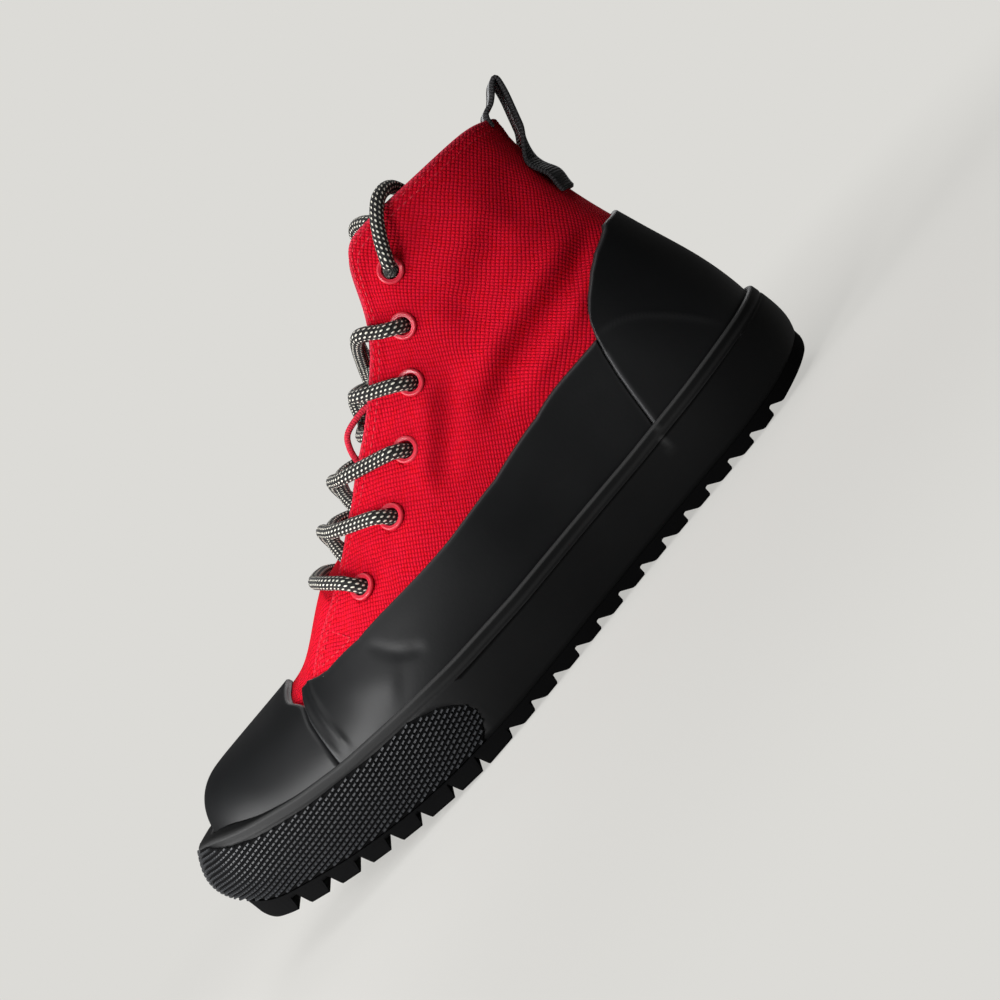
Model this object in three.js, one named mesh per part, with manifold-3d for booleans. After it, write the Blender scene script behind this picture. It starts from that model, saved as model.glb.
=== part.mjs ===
// Low-cut-to-ankle canvas sneaker, left shoe: rubber cup sole with a lugged outsole, a ribbed toe
// bumper, a toe cap, side rands and a heel counter over a hollow canvas upper, laced in six pairs.
// Every solid is built from s, y, z: s runs from the toe tip to the heel, +y is the inner side of
// the foot and z is up. The last group moves them so that the origin is under the middle.
import * as THREE from "three";
import { mergeVertices } from "three/addons/utils/BufferGeometryUtils.js";
import Module from "manifold-3d";

const wasm = await Module();
wasm.setup();

// Driving dimensions, in millimetres
const soleLength = 288;
const outlineShift = 1.75; // the outer side of the sole reaches further than the inner side
const canvas = 2.0; // wall of the upper
const gap = 0.3; // between pieces that touch
const overlay = 2.0; // rand, toe cap and heel counter
const coverIn = gap; // their inner and outer faces, measured from the canvas
const coverOut = gap + overlay;
const insoleThick = 4;
const plateAbove = 1.0; // outsole plate above the top of its lugs
const around = 40; // samples round the shoe
const throatHalf = 20;
const throatFront = 92;
const throatBack = 190;
const throatLow = 50;
const laceRadius = 2.5;
const tongueThick = 2.5;
const eyelet = {
  bore: 3.0, barrel: 3.5, flange: 4.8, bevel: 0.6, under: 2.8, seat: 0.5, top: 1.4, drill: 14, sides: 10,
};
const webbing = { half: 12.5, thick: 1.8, sewnLow: 102.5, sewnHigh: 123 }; // heel loop
const bumper = { proud: 0.6, seat: 1.3, recess: 1.6, clear: 0.35 }; // its faces, from the side wall
const lugInset = 1.2; // lugs lean in from the plate's edge
const ground = { front: 105, rear: 245, toeSpring: 18.4, heelSpring: 6.2 };
const teeth = { first: 114, count: 13, pitch: 11.7, length: 7, depth: 5, notch: 3 }; // waist to heel
const grooves = { lines: [-16, 13], from: 108, to: 250, width: 3.5, deep: 2.4 }; // along the tread
const keeperHalf = 4.5; // strap on the tongue that a lace runs under
const beyond = 90; // cutting prisms reach past the sides
const past = { up: 12, down: 5 }; // cutting forms reach past the ends of the last
const lidTop = 180; // above the highest point of the last
const fine = { drill: 0.5, dip: 0.2 }; // small clearances

const table = (columns, rows) =>
  rows.map((row) => Object.fromEntries(columns.split(" ").map((name, i) => [name, row[i]])));

// The last, one row for each section from toe tip to heel back. lateral and medial are half widths
// at the feather line, base its height; top... is the ridge, or where open is 1 the wall's edge.
// rise and bulge lift the wall off the feather, shoulder and drop bring it in to the top.
const lastRows = table(
  "s lateral medial base topS topLateral topMedial topZ open rise bulge shoulder drop",
  [
    [16.5, -5, 5, 37, 36, -4, 4, 64, 0, 15, 1.5, 14, 0], // toe tip
    [25.5, 21.5, 30, 35, 40, -3.5, 3.5, 64.2, 0, 17, 1, 17, 0], // toe corner
    [45, 34, 39.5, 29.5, 48, -3, 3, 64.3, 0, 23, 4, 19, 0], // toe side
    [75, 43, 43, 25.5, 76, -1.5, 1.5, 64.6, 0, 23, 4, 24, 0], // ball, front
    [105, 47, 42.5, 23.5, 106, 0, 0, 79, 0, 28, 3.5, 30, 0], // ball
    [145, 43, 36, 22, 146, 20, 20, 96, 1, 36, 5, 10, 14], // waist
    [181, 35.5, 30, 21.5, 186, 22, 22, 124, 1, 40, 5, 5, 20], // instep
    [212, 32, 28, 21, 206, 26, 25, 149.5, 1, 38, 5, 2, 34], // ankle, front
    [243, 31, 30, 21, 235, 30, 29.5, 146.5, 1, 35, 4, -2, 45], // ankle
    [267, 23.5, 24, 21, 261, 21, 21, 143.3, 1, 31, 6, -7, 44], // heel corner
    [280.5, 0, 0, 21, 272, 0, 0, 139, 1, 31, 8.5, -9.5, 44], // heel back
  ],
);

// The sole's outline, with how far its side wall leans in at the top and at the bottom
const soleRows = table("s lateral medial topInset bottomInset", [
  [0, -6, 6, 8, 4],
  [12, 22, 34, 5.5, 3],
  [40, 39.5, 46, 2.2, 1.4],
  [75, 50.3, 51.2, 1.2, 1],
  [108, 55, 50.5, 1.2, 1],
  [145, 51, 44, 1.2, 1],
  [185, 42.5, 37, 1.2, 1],
  [215, 39, 35.5, 1.2, 1],
  [243, 37.5, 37, 1.2, 1],
  [274, 27, 28.5, 1, 2],
  [288, 0, 0, 1, 3],
]);

// Heights along the side: lip is the side wall's top, foot its bottom edge above the lugs
const lipRows = table("s z", [
  [8, 52], [15, 52.5], [20, 50.5], [30, 47], [50, 41.5], [70, 37.8], [100, 34.5],
  [120, 32.5], [150, 31], [210, 30.3], [240, 31], [288, 33],
]);
const footRows = table("s z", [
  [0, 30], [10, 23.5], [18, 20], [30, 17], [45, 13], [60, 10], [75, 7.5], [90, 6],
  [120, 4.5], [240, 4.5], [262, 5.5], [275, 7.5], [288, 10],
]);
// Upper edge of the lacing flaps
const flapRows = table("s half z", [
  [95, 20, 69], [106, 20, 73.5], [119, 20, 80], [131, 20, 87], [146, 20, 96],
  [167, 20.5, 109], [186, 22, 124], [192, 23, 132.5], [200, 25, 144], [206, 26, 149.5],
]);
// Middle line of the tongue, its half width and how far its edges fall
const tongueRows = table("s z half fall", [
  [82, 57, 16, 4], [95, 64.5, 17, 6], [110, 73, 18, 10], [127, 83, 19, 15], [141, 90.5, 20, 16],
  [155, 97.5, 20, 16], [167, 103, 20, 15], [181, 113, 19, 14], [195, 124, 16, 12], [207, 136, 15, 9],
]);
const eyeletRows = table("s z", [
  [118.5, 69.5], [143, 77.5], [163.5, 88.5], [182, 102], [195, 116.5], [206.5, 132],
]);

// Side outlines, as s, z
const capRear = [[68.7, 38], [71.7, 52], [74, 57], [71, 60.5], [76, 66.5], [77, 80]];
const randFront = [[69, 38], [72, 52], [75, 57], [79, 60.5], [82, 61]];
const randTop = [[90, 59.4], [120, 59], [150, 58.2], [175, 59.5], [200, 62.3], [220, 64], [232.8, 63.8]];
const counterFront = [[224.5, 31], [227, 42], [229, 50], [231.5, 58], [234, 64]];
const counterTop = [[237, 69], [243, 75], [250, 80], [256, 83], [264, 85.5], [272, 86.5], [290, 86.5]];
const bumperTop = [
  [8, 52], [12, 50], [20, 46], [30, 42], [50, 37], [80, 32], [95, 30.5], [100, 29],
  [105, 26], [109, 23], [112, 19.5], [114, 15], [114, 10], [112, 6],
];

// Smooth steps between values, which never pass beyond them
const slopeAt = (a, b, c) => ((b - a) * (c - b) > 0 ? (2 * (b - a) * (c - b)) / (c - a) : 0);
function hermite(a, b, slopeA, slopeB, f) {
  const g = 1 - f;
  return a * g * g * (1 + 2 * f) + b * f * f * (1 + 2 * g) + slopeA * g * g * f - slopeB * f * f * g;
}
function roundRing(values, u) {
  const count = values.length;
  const i = Math.floor(u);
  const [a, b, c, d] = [i - 1, i, i + 1, i + 2].map((k) => values[(k + count) % count]);
  return hermite(b, c, slopeAt(a, b, c), slopeAt(b, c, d), u - i);
}
function along(rows, column, s) {
  const last = rows.length - 2;
  const i = Math.min(Math.max(rows.findIndex((row) => row.s > s) - 1, 0), last);
  const k = s >= rows[last + 1].s ? last : i;
  const f = Math.min(Math.max((s - rows[k].s) / (rows[k + 1].s - rows[k].s), 0), 1);
  return rows[k][column] + (rows[k + 1][column] - rows[k][column]) * f;
}
const bisect = (low, high, isBelow) => {
  for (let turn = 0; turn < 24; turn++) {
    const middle = (low + high) / 2;
    if (isBelow(middle)) low = middle;
    else high = middle;
  }
  return low;
};
// Height of the tread's lower face: it springs up towards the toe and the heel
const groundAt = (s) => {
  if (s < ground.front) return ground.toeSpring * (1 - s / ground.front) ** 1.55;
  return s > ground.rear ? ground.heelSpring * ((s - ground.rear) / (soleLength - ground.rear)) ** 1.6 : 0;
};

// A ring of rows: toe tip, inner side, heel back, outer side
function ringOf(rows, sides) {
  const outer = rows.slice(1, -1).reverse();
  const pick = (inner, mirrored) => [...rows.map(inner), ...outer.map(mirrored)];
  const columns = {};
  for (const name of Object.keys(rows[0])) columns[name] = pick((r) => r[name], (r) => r[name]);
  for (const [name, medial, lateral] of sides) {
    columns[name] = pick((r) => r[medial], (r) => -r[lateral]);
  }
  return columns;
}
const last = ringOf(lastRows, [["y", "medial", "lateral"], ["topY", "topMedial", "topLateral"]]);
const sole = ringOf(soleRows, [["y", "medial", "lateral"]]);
const turns = last.s.length;
const ringPlace = (i) => (i * turns) / around;

// Plan direction that points out of the shoe, level, at place u of a ring
function outwardAt(ring, u) {
  const step = 0.05;
  const [before, after] = [(u - step + turns) % turns, (u + step) % turns];
  const ds = roundRing(ring.s, after) - roundRing(ring.s, before);
  const dy = roundRing(ring.y, after) - roundRing(ring.y, before);
  return new THREE.Vector3(-dy, ds, 0).normalize();
}

// A point of the canvas's outer face: u runs round the shoe, v from feather line to top
function wall(u, v) {
  const read = (name) => roundRing(last[name], (u + turns) % turns);
  const outward = outwardAt(last, (u + turns) % turns);
  const bottom = new THREE.Vector3(read("s"), read("y"), read("base"));
  const top = new THREE.Vector3(read("topS"), read("topY"), read("topZ"));
  const low = bottom.clone().addScaledVector(outward, read("bulge"));
  low.z += read("rise");
  const high = top.clone().addScaledVector(outward, read("shoulder"));
  high.z -= read("drop");
  return new THREE.CubicBezierCurve3(bottom, low, high, top).getPoint(v);
}
function wallNormal(u, v) {
  const [du, dv] = [0.04, 0.02];
  const level = Math.min(Math.max(v, dv), 1 - dv);
  const along = wall(u + du, level).sub(wall(u - du, level));
  const up = wall(u, level + dv).sub(wall(u, level - dv));
  return up.cross(along).normalize();
}
// On the ridge both sides share one point, so its normal has no sideways part
function ridgeNormal(half) {
  const forward = wall(half + 0.05, 1).sub(wall(half, 1));
  return new THREE.Vector3(-forward.z, 0, forward.x).normalize();
}
function lastPoint(i, v, offset) {
  const half = (Math.min(i, around - i) * turns) / around;
  const onRidge = v === 1 && roundRing(last.open, half) < 1e-6;
  if (onRidge) return wall(half, 1).addScaledVector(ridgeNormal(half), offset);
  const normal = wallNormal(ringPlace(i), v);
  if (v === 0) normal.setZ(0).normalize();
  return wall(ringPlace(i), v).addScaledVector(normal, offset);
}

// Closed solid from rings of points, one above the other; strips across close floor and lid
function loftOf(rings) {
  const triangles = [];
  const quad = (a, b, c, d) => triangles.push(a, b, c, a, c, d);
  const place = (level, i) => level * around + (i + around) % around;
  const top = rings.length - 1;
  for (let level = 0; level < top; level++) {
    for (let i = 0; i < around; i++) {
      quad(place(level, i), place(level + 1, i), place(level + 1, i + 1), place(level, i + 1));
    }
  }
  for (let i = 0; i < around / 2; i++) {
    quad(place(top, -i), place(top, -i - 1), place(top, i + 1), place(top, i));
    quad(place(0, i), place(0, i + 1), place(0, -i - 1), place(0, -i));
  }
  return solidOf(geometryOf(rings.flat(), triangles));
}
function geometryOf(points, triangles) {
  const geometry = new THREE.BufferGeometry();
  geometry.setAttribute("position", new THREE.Float32BufferAttribute(points.flatMap((p) => p.toArray()), 3));
  geometry.setIndex(triangles);
  return geometry;
}
function solidOf(geometry) {
  const bare = geometry.clone();
  bare.deleteAttribute("normal");
  bare.deleteAttribute("uv");
  const welded = mergeVertices(bare, 1e-4);
  const kept = [];
  for (let i = 0; i < welded.index.count; i += 3) {
    const [a, b, c] = [0, 1, 2].map((k) => welded.index.getX(i + k));
    if (a !== b && b !== c && c !== a) kept.push(a, b, c);
  }
  const vertProperties = new Float32Array(welded.attributes.position.array);
  const triVerts = new Uint32Array(kept);
  return new wasm.Manifold(new wasm.Mesh({ numProp: 3, vertProperties, triVerts }));
}

// The last as a closed form, its face moved out by offset; up and down lengthen its ends
function lastForm(offset, { up = 0, down = 0, levels = 6 } = {}) {
  const rings = [];
  for (let level = 0; level <= levels; level++) {
    const ring = [];
    for (let i = 0; i < around; i++) {
      const point = lastPoint(i, level / levels, offset);
      if (level === 0) point.z -= down;
      if (level === levels) point.z += up * roundRing(last.open, ringPlace(i));
      ring.push(point);
    }
    rings.push(ring);
  }
  return loftOf(rings);
}

// The cup sole as a closed form, from above its lugs to its lip
const soleLevels = [0, 0.12, 0.35, 0.65, 0.85, 1];
function soleForm(offset, { up = 0, down = 0 } = {}) {
  const rings = soleLevels.map((height) => {
    const ring = [];
    for (let i = 0; i < around; i++) {
      const u = ringPlace(i);
      const [inTop, inBottom] = [sole.topInset, sole.bottomInset].map((c) => roundRing(c, u));
      const inset = inBottom * (1 - height) ** 5 + inTop * height ** 3 - offset;
      const point = new THREE.Vector3(roundRing(sole.s, u), roundRing(sole.y, u), 0);
      point.addScaledVector(outwardAt(sole, u), -inset);
      const foot = along(footRows, "z", point.x) + plateAbove + gap;
      point.z = foot + (along(lipRows, "z", point.x) - foot) * height;
      if (height === 1) point.z += up;
      if (height === 0) point.z -= down;
      ring.push(point);
    }
    return ring;
  });
  return loftOf(rings);
}

// Prisms: through the shoe from side to side over a side outline, and upright over a plan outline
function sidePrism(outline, from = -beyond, to = beyond) {
  const shape = new THREE.Shape(outline.map(([s, z]) => new THREE.Vector2(s, z)));
  const prism = new THREE.ExtrudeGeometry(shape, { depth: to - from, bevelEnabled: false });
  return solidOf(prism.rotateX(Math.PI / 2).translate(0, to, 0));
}
function planPrism(shape, from, to) {
  const settings = { depth: to - from, bevelEnabled: false, curveSegments: 8 };
  return solidOf(new THREE.ExtrudeGeometry(shape, settings).translate(0, 0, from));
}
function box(low, high) {
  const size = high.map((value, k) => value - low[k]);
  const middle = high.map((value, k) => (value + low[k]) / 2);
  return solidOf(new THREE.BoxGeometry(...size).translate(...middle));
}

// Sole
const longer = { up: 3, down: 3 };
function makeMidsole(region) {
  const recess = soleForm(longer.up, longer).subtract(soleForm(-bumper.recess, longer)).intersect(region);
  return soleForm(0).subtract(lastForm(coverOut + gap, { up: past.up, down: gap })).subtract(recess);
}
function makeBumper(region) {
  return soleForm(bumper.proud).subtract(soleForm(-bumper.seat, longer)).intersect(region);
}
function makeOutsole() {
  const ringAt = (inset, heightAt) => {
    const ring = [];
    for (let i = 0; i < around; i++) {
      const u = ringPlace(i);
      const point = new THREE.Vector3(roundRing(sole.s, u), roundRing(sole.y, u), 0);
      point.addScaledVector(outwardAt(sole, u), -inset - roundRing(sole.bottomInset, u));
      point.z = heightAt(point.x);
      ring.push(point);
    }
    return ring;
  };
  const plateTop = (s) => along(footRows, "z", s) + plateAbove;
  let outsole = loftOf([ringAt(lugInset, groundAt), ringAt(0, plateTop)]);
  // gaps between the forefoot lugs
  const lugGaps = table("from to", [[19, 24], [32, 37], [45, 50], [58, 63], [71.5, 75.5], [86, 89], [99, 102]]);
  for (const { from, to } of lugGaps) {
    const low = groundAt(to) - teeth.depth;
    const high = Math.min(along(footRows, "z", from), along(footRows, "z", to));
    outsole = outsole.subtract(sidePrism([[from, low], [to, low], [to - gap, high], [from + gap, high]]));
  }
  // saw teeth from the waist to the heel: steep towards the toe, sloping towards the heel
  for (let tooth = 0; tooth < teeth.count; tooth++) {
    const s = teeth.first + tooth * teeth.pitch;
    const [low, flat, high] = [-teeth.depth, 0, teeth.notch].map((rise) => groundAt(s) + rise);
    const [steep, slope, end] = [0.2, 0.8, 1].map((share) => s + share * teeth.length);
    outsole = outsole.subtract(sidePrism([[s, low], [end, low], [slope, flat], [steep, high], [s, high]]));
  }
  for (const y of grooves.lines) {
    const [low, high] = [[grooves.from, y, -grooves.deep], [grooves.to, y + grooves.width, grooves.deep]];
    outsole = outsole.subtract(box(low, high));
  }
  return outsole;
}

// Upper
const throatPlan = () => {
  const shape = new THREE.Shape();
  const centre = throatFront + throatHalf;
  shape.moveTo(centre, -throatHalf);
  shape.lineTo(throatBack, -throatHalf);
  shape.lineTo(throatBack, throatHalf);
  shape.lineTo(centre, throatHalf);
  shape.absellipse(centre, 0, throatHalf, throatHalf, Math.PI / 2, Math.PI * 1.5);
  return shape;
};
function wallSpot(side, s, z) {
  const place = (half) => (side > 0 ? half : turns - half);
  const levelAt = (half) => bisect(0, 1, (v) => wall(place(half), v).z < z);
  const half = bisect(2.5, 8, (value) => wall(place(value), levelAt(value)).x < s);
  const level = levelAt(half);
  return { point: wall(place(half), level), normal: wallNormal(place(half), level) };
}
const eyeletSpots = [-1, 1].flatMap((side) =>
  eyeletRows.map(({ s, z }, i) => ({ side, pair: i + 1, ...wallSpot(side, s, z) })),
);
const standOn = (geometry, { point, normal }) => {
  const turn = new THREE.Quaternion().setFromUnitVectors(new THREE.Vector3(0, 1, 0), normal);
  return geometry.applyQuaternion(turn).translate(...point.toArray());
};
function makeUpper() {
  let upper = lastForm(0).subtract(lastForm(-canvas, past));
  upper = upper.subtract(planPrism(throatPlan(), throatLow, lidTop));
  for (const spot of eyeletSpots) {
    const radius = eyelet.barrel + fine.drill;
    const hole = new THREE.CylinderGeometry(radius, radius, eyelet.drill, eyelet.sides);
    upper = upper.subtract(solidOf(standOn(hole, spot)));
  }
  return upper;
}
function makeEyelet(spot) {
  const { bore, barrel, flange, bevel, under, seat, top } = eyelet;
  const outline = [
    [bore, -under], [barrel, -under], [barrel, seat], [flange, seat], [flange - bevel, top],
    [bore, top], [bore, -under],
  ].map(([r, h]) => new THREE.Vector2(r, h));
  return solidOf(standOn(new THREE.LatheGeometry(outline, eyelet.sides), spot));
}
function coverForm() {
  return lastForm(coverOut).subtract(lastForm(coverIn, past));
}
const [toeEnd, heelEnd, coverLow, counterHigh] = [-20, 300, 10, 86.5];
const capOutline = [[toeEnd, coverLow], [68.7, coverLow], ...capRear, [toeEnd, 80]];
const randRear = [[224.5, coverLow], ...counterFront.slice(0, -1)].reverse().map(([s, z]) => [s - gap, z]);
const randOutline = [[69, coverLow], ...randFront, ...randTop, ...randRear];
const counterOutline = [
  [224.5, coverLow], ...counterFront, ...counterTop, [heelEnd, counterHigh], [heelEnd, coverLow],
];

// A sheet from an upper grid of points and a lower one
function sheetOf(upper, lower) {
  const [rows, columns] = [upper.length, upper[0].length];
  const points = [...upper.flat(), ...lower.flat()];
  const triangles = [];
  const quad = (a, b, c, d) => triangles.push(a, b, c, a, c, d);
  const place = (i, j, below = 0) => below * rows * columns + i * columns + j;
  for (let i = 0; i + 1 < rows; i++) {
    for (let j = 0; j + 1 < columns; j++) {
      quad(place(i, j), place(i + 1, j), place(i + 1, j + 1), place(i, j + 1));
      quad(place(i, j, 1), place(i, j + 1, 1), place(i + 1, j + 1, 1), place(i + 1, j, 1));
    }
    quad(place(i, 0, 1), place(i + 1, 0, 1), place(i + 1, 0), place(i, 0));
    const edge = columns - 1;
    quad(place(i, edge), place(i + 1, edge), place(i + 1, edge, 1), place(i, edge, 1));
  }
  for (let j = 0; j + 1 < columns; j++) {
    quad(place(0, j, 1), place(0, j), place(0, j + 1), place(0, j + 1, 1));
    const end = rows - 1;
    quad(place(end, j), place(end, j, 1), place(end, j + 1, 1), place(end, j + 1));
  }
  return solidOf(geometryOf(points, triangles));
}
function makeTongue() {
  const across = [-1, -0.75, -0.5, -0.25, 0, 0.25, 0.5, 0.75, 1];
  const gridAt = (lowered) =>
    tongueRows.map(({ s, z, half, fall }) =>
      across.map((f) => new THREE.Vector3(s, f * half, z - fall * f * f - lowered)),
    );
  // keeper strap: a bridge along the middle that a lace runs under
  const bridge = [
    [146, 92], [150, 103], [153.5, 107.2], [160, 108.6], [166.5, 108.4], [168.5, 103.5],
    [167.3, 103], [165.6, 107], [160, 107.2], [154.2, 105.8], [151.3, 102.3], [149, 93],
  ];
  const strap = sidePrism(bridge, -keeperHalf, keeperHalf);
  return sheetOf(gridAt(0), gridAt(tongueThick)).add(strap);
}
function makeInsole() {
  const ringAt = (height) => {
    const ring = [];
    for (let i = 0; i < around; i++) {
      const point = lastPoint(i, 0, -canvas - gap - fine.dip);
      point.z += height;
      ring.push(point);
    }
    return ring;
  };
  return loftOf([ringAt(0), ringAt(insoleThick)]);
}
function makePullLoop() {
  // path of the webbing in the side plane, from the collar's edge out to the tip and back
  const path = [
    [267.5, 142.6], [271.5, 142.6], [275.5, 145.6], [279, 148], [281.2, 147.6], [281, 144],
    [278, 136.5], [275, 129], [272.9, 122], [271.6, 118],
  ].map(([s, z]) => new THREE.Vector2(s, z));
  const side = (sign) =>
    path.map((point, i) => {
      const ahead = path[Math.min(i + 1, path.length - 1)].clone().sub(path[Math.max(i - 1, 0)]);
      const across = new THREE.Vector2(-ahead.y, ahead.x).normalize();
      return point.clone().addScaledVector(across, (sign * webbing.thick) / 2).toArray();
    });
  const loop = sidePrism([...side(1), ...side(-1).reverse()], -webbing.half, webbing.half);
  const sewn = lastForm(gap + webbing.thick).subtract(lastForm(gap, past));
  const { half, sewnLow, sewnHigh } = webbing;
  const strip = sewn.intersect(box([soleLength - 38, -half, sewnLow], [heelEnd, half, sewnHigh]));
  return loop.add(strip);
}

// Laces
const flapEdge = (side, s) =>
  new THREE.Vector3(s, side * along(flapRows, "half", s), along(flapRows, "z", s));
const laceSteps = { bar: 14, crossing: 11, top: 9, end: 18 };
function tubeOf(points, steps, sides = 6) {
  const corners = [];
  for (let k = 0; k < sides; k++) {
    const angle = (k * 2 * Math.PI) / sides;
    corners.push(new THREE.Vector2(laceRadius * Math.cos(angle), laceRadius * Math.sin(angle)));
  }
  const extrudePath = new THREE.CatmullRomCurve3(points, false, "centripetal");
  const settings = { steps, bevelEnabled: false, extrudePath };
  return solidOf(new THREE.ExtrudeGeometry(new THREE.Shape(corners), settings));
}
const off = ({ point, normal }, distance) => point.clone().addScaledVector(normal, distance);
const inside = -(canvas + 4 * gap + laceRadius);
const overEyelet = eyelet.top + gap + laceRadius + fine.dip;
// One strand: out from under the flap, over the tongue and the far flap to the next eyelet up
function strand(side, pair, middle) {
  const { under, over } = crossings[pair - 1];
  const next = eyeletRows[pair];
  const start = flapEdge(side, under);
  const far = flapEdge(-side, over);
  return [
    off(wallSpot(side, under, start.z - 8), inside),
    start.clone().add(new THREE.Vector3(0, -side * 5.5, -4.2)),
    ...middle.map((point) => new THREE.Vector3(...point)),
    far.clone().add(new THREE.Vector3(0, 0.5 * -side, 4.8)),
    off(wallSpot(-side, next.s - 2.5, next.z + 2.5), overEyelet),
  ];
}
// Each crossing: where it comes out from under one flap, where it passes over the other, and
// the points, as s, y, z, by which the outer and the inner strand cross the middle
const crossings = table("under over outer inner", [
  [121, 126, [[122, 0, 88.2]], [[122, 0, 88.2]]],
  [137, 142, [[137.5, 0, 96.6]], [[137.5, 0, 96.6]]],
  [159, 166, [[157, -6, 102.2], [158.4, 0, 103.2], [160.5, 6, 104.4]], [[166.5, 8, 108.6], [170, 0, 112]]],
  [172, 182, [[176.5, 0, 116.4]], [[176.5, 0, 116.4]]],
]);
function makeCrossing(pair) {
  const { outer, inner } = crossings[pair - 1];
  const [one, two] = [strand(-1, pair, outer), strand(1, pair, inner)];
  return tubeOf(one, laceSteps.crossing).add(tubeOf(two, laceSteps.crossing));
}
function makeLaceBar() {
  const end = (side) => off(wallSpot(side, 117, 71.5), overEyelet);
  const edge = (side) => flapEdge(side, 111).add(new THREE.Vector3(-1, side * 2, 4.4));
  return tubeOf([end(-1), edge(-1), new THREE.Vector3(107, 0, 81.8), edge(1), end(1)], laceSteps.bar);
}
function makeTopCrossing() {
  const from = (side) => off(wallSpot(side, 196, 119), inside);
  const to = (side) => off(wallSpot(side, 205, 133), inside);
  const middle = new THREE.Vector3(199, 0, 133.2);
  const one = tubeOf([from(-1), middle, to(1)], laceSteps.top);
  return one.add(tubeOf([from(1), middle, to(-1)], laceSteps.top));
}
// Free ends, from the top eyelets over the collar and down inside
const laceEnds = {
  lace_end_lateral: [
    [207.2, -31.2, 133.4], [208.6, -33.2, 136], [212, -33.8, 141.2], [216.5, -33.2, 146.6],
    [221.5, -31, 150.4], [226, -27, 151.2], [229, -21.5, 149.4], [230.4, -17, 144],
    [230.6, -14.6, 136], [230, -13.4, 126], [229, -12.6, 115], [228, -12, 104],
  ],
  lace_end_medial: [
    [207.2, 30.4, 133.4], [208, 32.4, 136.8], [208.8, 32.2, 142.5], [209.8, 30.6, 148.4],
    [211.4, 26.4, 151.9], [214, 20, 152], [217, 13.5, 148.8], [219.2, 9.2, 142],
    [219.6, 7.6, 133], [219.6, 7, 123], [219, 6.8, 113], [218, 6.8, 104],
  ],
};

// Colours
const canvasRed = new THREE.MeshStandardMaterial({ color: 0xb8101f, roughness: 0.9, metalness: 0 });
const blackRubber = new THREE.MeshStandardMaterial({ color: 0x1c1d20, roughness: 0.6, metalness: 0 });
const treadRubber = new THREE.MeshStandardMaterial({ color: 0x151619, roughness: 0.75, metalness: 0 });
const insoleCloth = new THREE.MeshStandardMaterial({ color: 0x141414, roughness: 0.95, metalness: 0 });
const eyeletPaint = new THREE.MeshStandardMaterial({ color: 0xc32030, roughness: 0.4, metalness: 0.1 });
const laceCloth = new THREE.MeshStandardMaterial({ color: 0x20201f, roughness: 0.85, metalness: 0 });
const webbingCloth = new THREE.MeshStandardMaterial({ color: 0x1a1a1c, roughness: 0.8, metalness: 0 });

const shoe = new THREE.Group();
shoe.position.set(-soleLength / 2, outlineShift, 0);
function addPiece(name, solid, material) {
  const { vertProperties, triVerts } = solid.getMesh();
  const geometry = new THREE.BufferGeometry();
  geometry.setAttribute("position", new THREE.BufferAttribute(new Float32Array(vertProperties), 3));
  geometry.setIndex(new THREE.BufferAttribute(new Uint32Array(triVerts), 1));
  geometry.computeVertexNormals();
  const mesh = new THREE.Mesh(geometry, material);
  mesh.name = name;
  shoe.add(mesh);
}

const bumperRegion = [[toeEnd, -coverLow], [toeEnd, 52], ...bumperTop, [112, -coverLow]];
const recessRegion = bumperRegion.map(([s, z]) => [s + bumper.clear, z + bumper.clear]);
addPiece("outsole", makeOutsole(), treadRubber);
addPiece("midsole", makeMidsole(sidePrism(recessRegion)), blackRubber);
addPiece("toe_bumper", makeBumper(sidePrism(bumperRegion)), treadRubber);
addPiece("insole", makeInsole(), insoleCloth);
addPiece("upper", makeUpper(), canvasRed);
addPiece("tongue", makeTongue(), canvasRed);
const cover = coverForm();
addPiece("toe_cap", cover.intersect(sidePrism(capOutline)), blackRubber);
addPiece("rand_lateral", cover.intersect(sidePrism(randOutline, -beyond, -throatHalf / 2)), blackRubber);
addPiece("rand_medial", cover.intersect(sidePrism(randOutline, throatHalf / 2, beyond)), blackRubber);
addPiece("heel_counter", cover.intersect(sidePrism(counterOutline)), blackRubber);
for (const spot of eyeletSpots) {
  const sideName = spot.side < 0 ? "lateral" : "medial";
  addPiece(`eyelet_${sideName}_${spot.pair}`, makeEyelet(spot), eyeletPaint);
}
addPiece("pull_loop", makePullLoop(), webbingCloth);
addPiece("lace_bar", makeLaceBar(), laceCloth);
for (const pair of [1, 2, 3, 4]) addPiece(`lace_crossing_${pair}`, makeCrossing(pair), laceCloth);
addPiece("lace_crossing_5", makeTopCrossing(), laceCloth);
for (const [name, route] of Object.entries(laceEnds)) {
  addPiece(name, tubeOf(route.map((p) => new THREE.Vector3(...p)), laceSteps.end, 8), laceCloth);
}

const group = new THREE.Group();
group.add(shoe);
export default group;
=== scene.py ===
import math
import bpy
import bmesh
import numpy as np
from mathutils import Matrix, Vector


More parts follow.
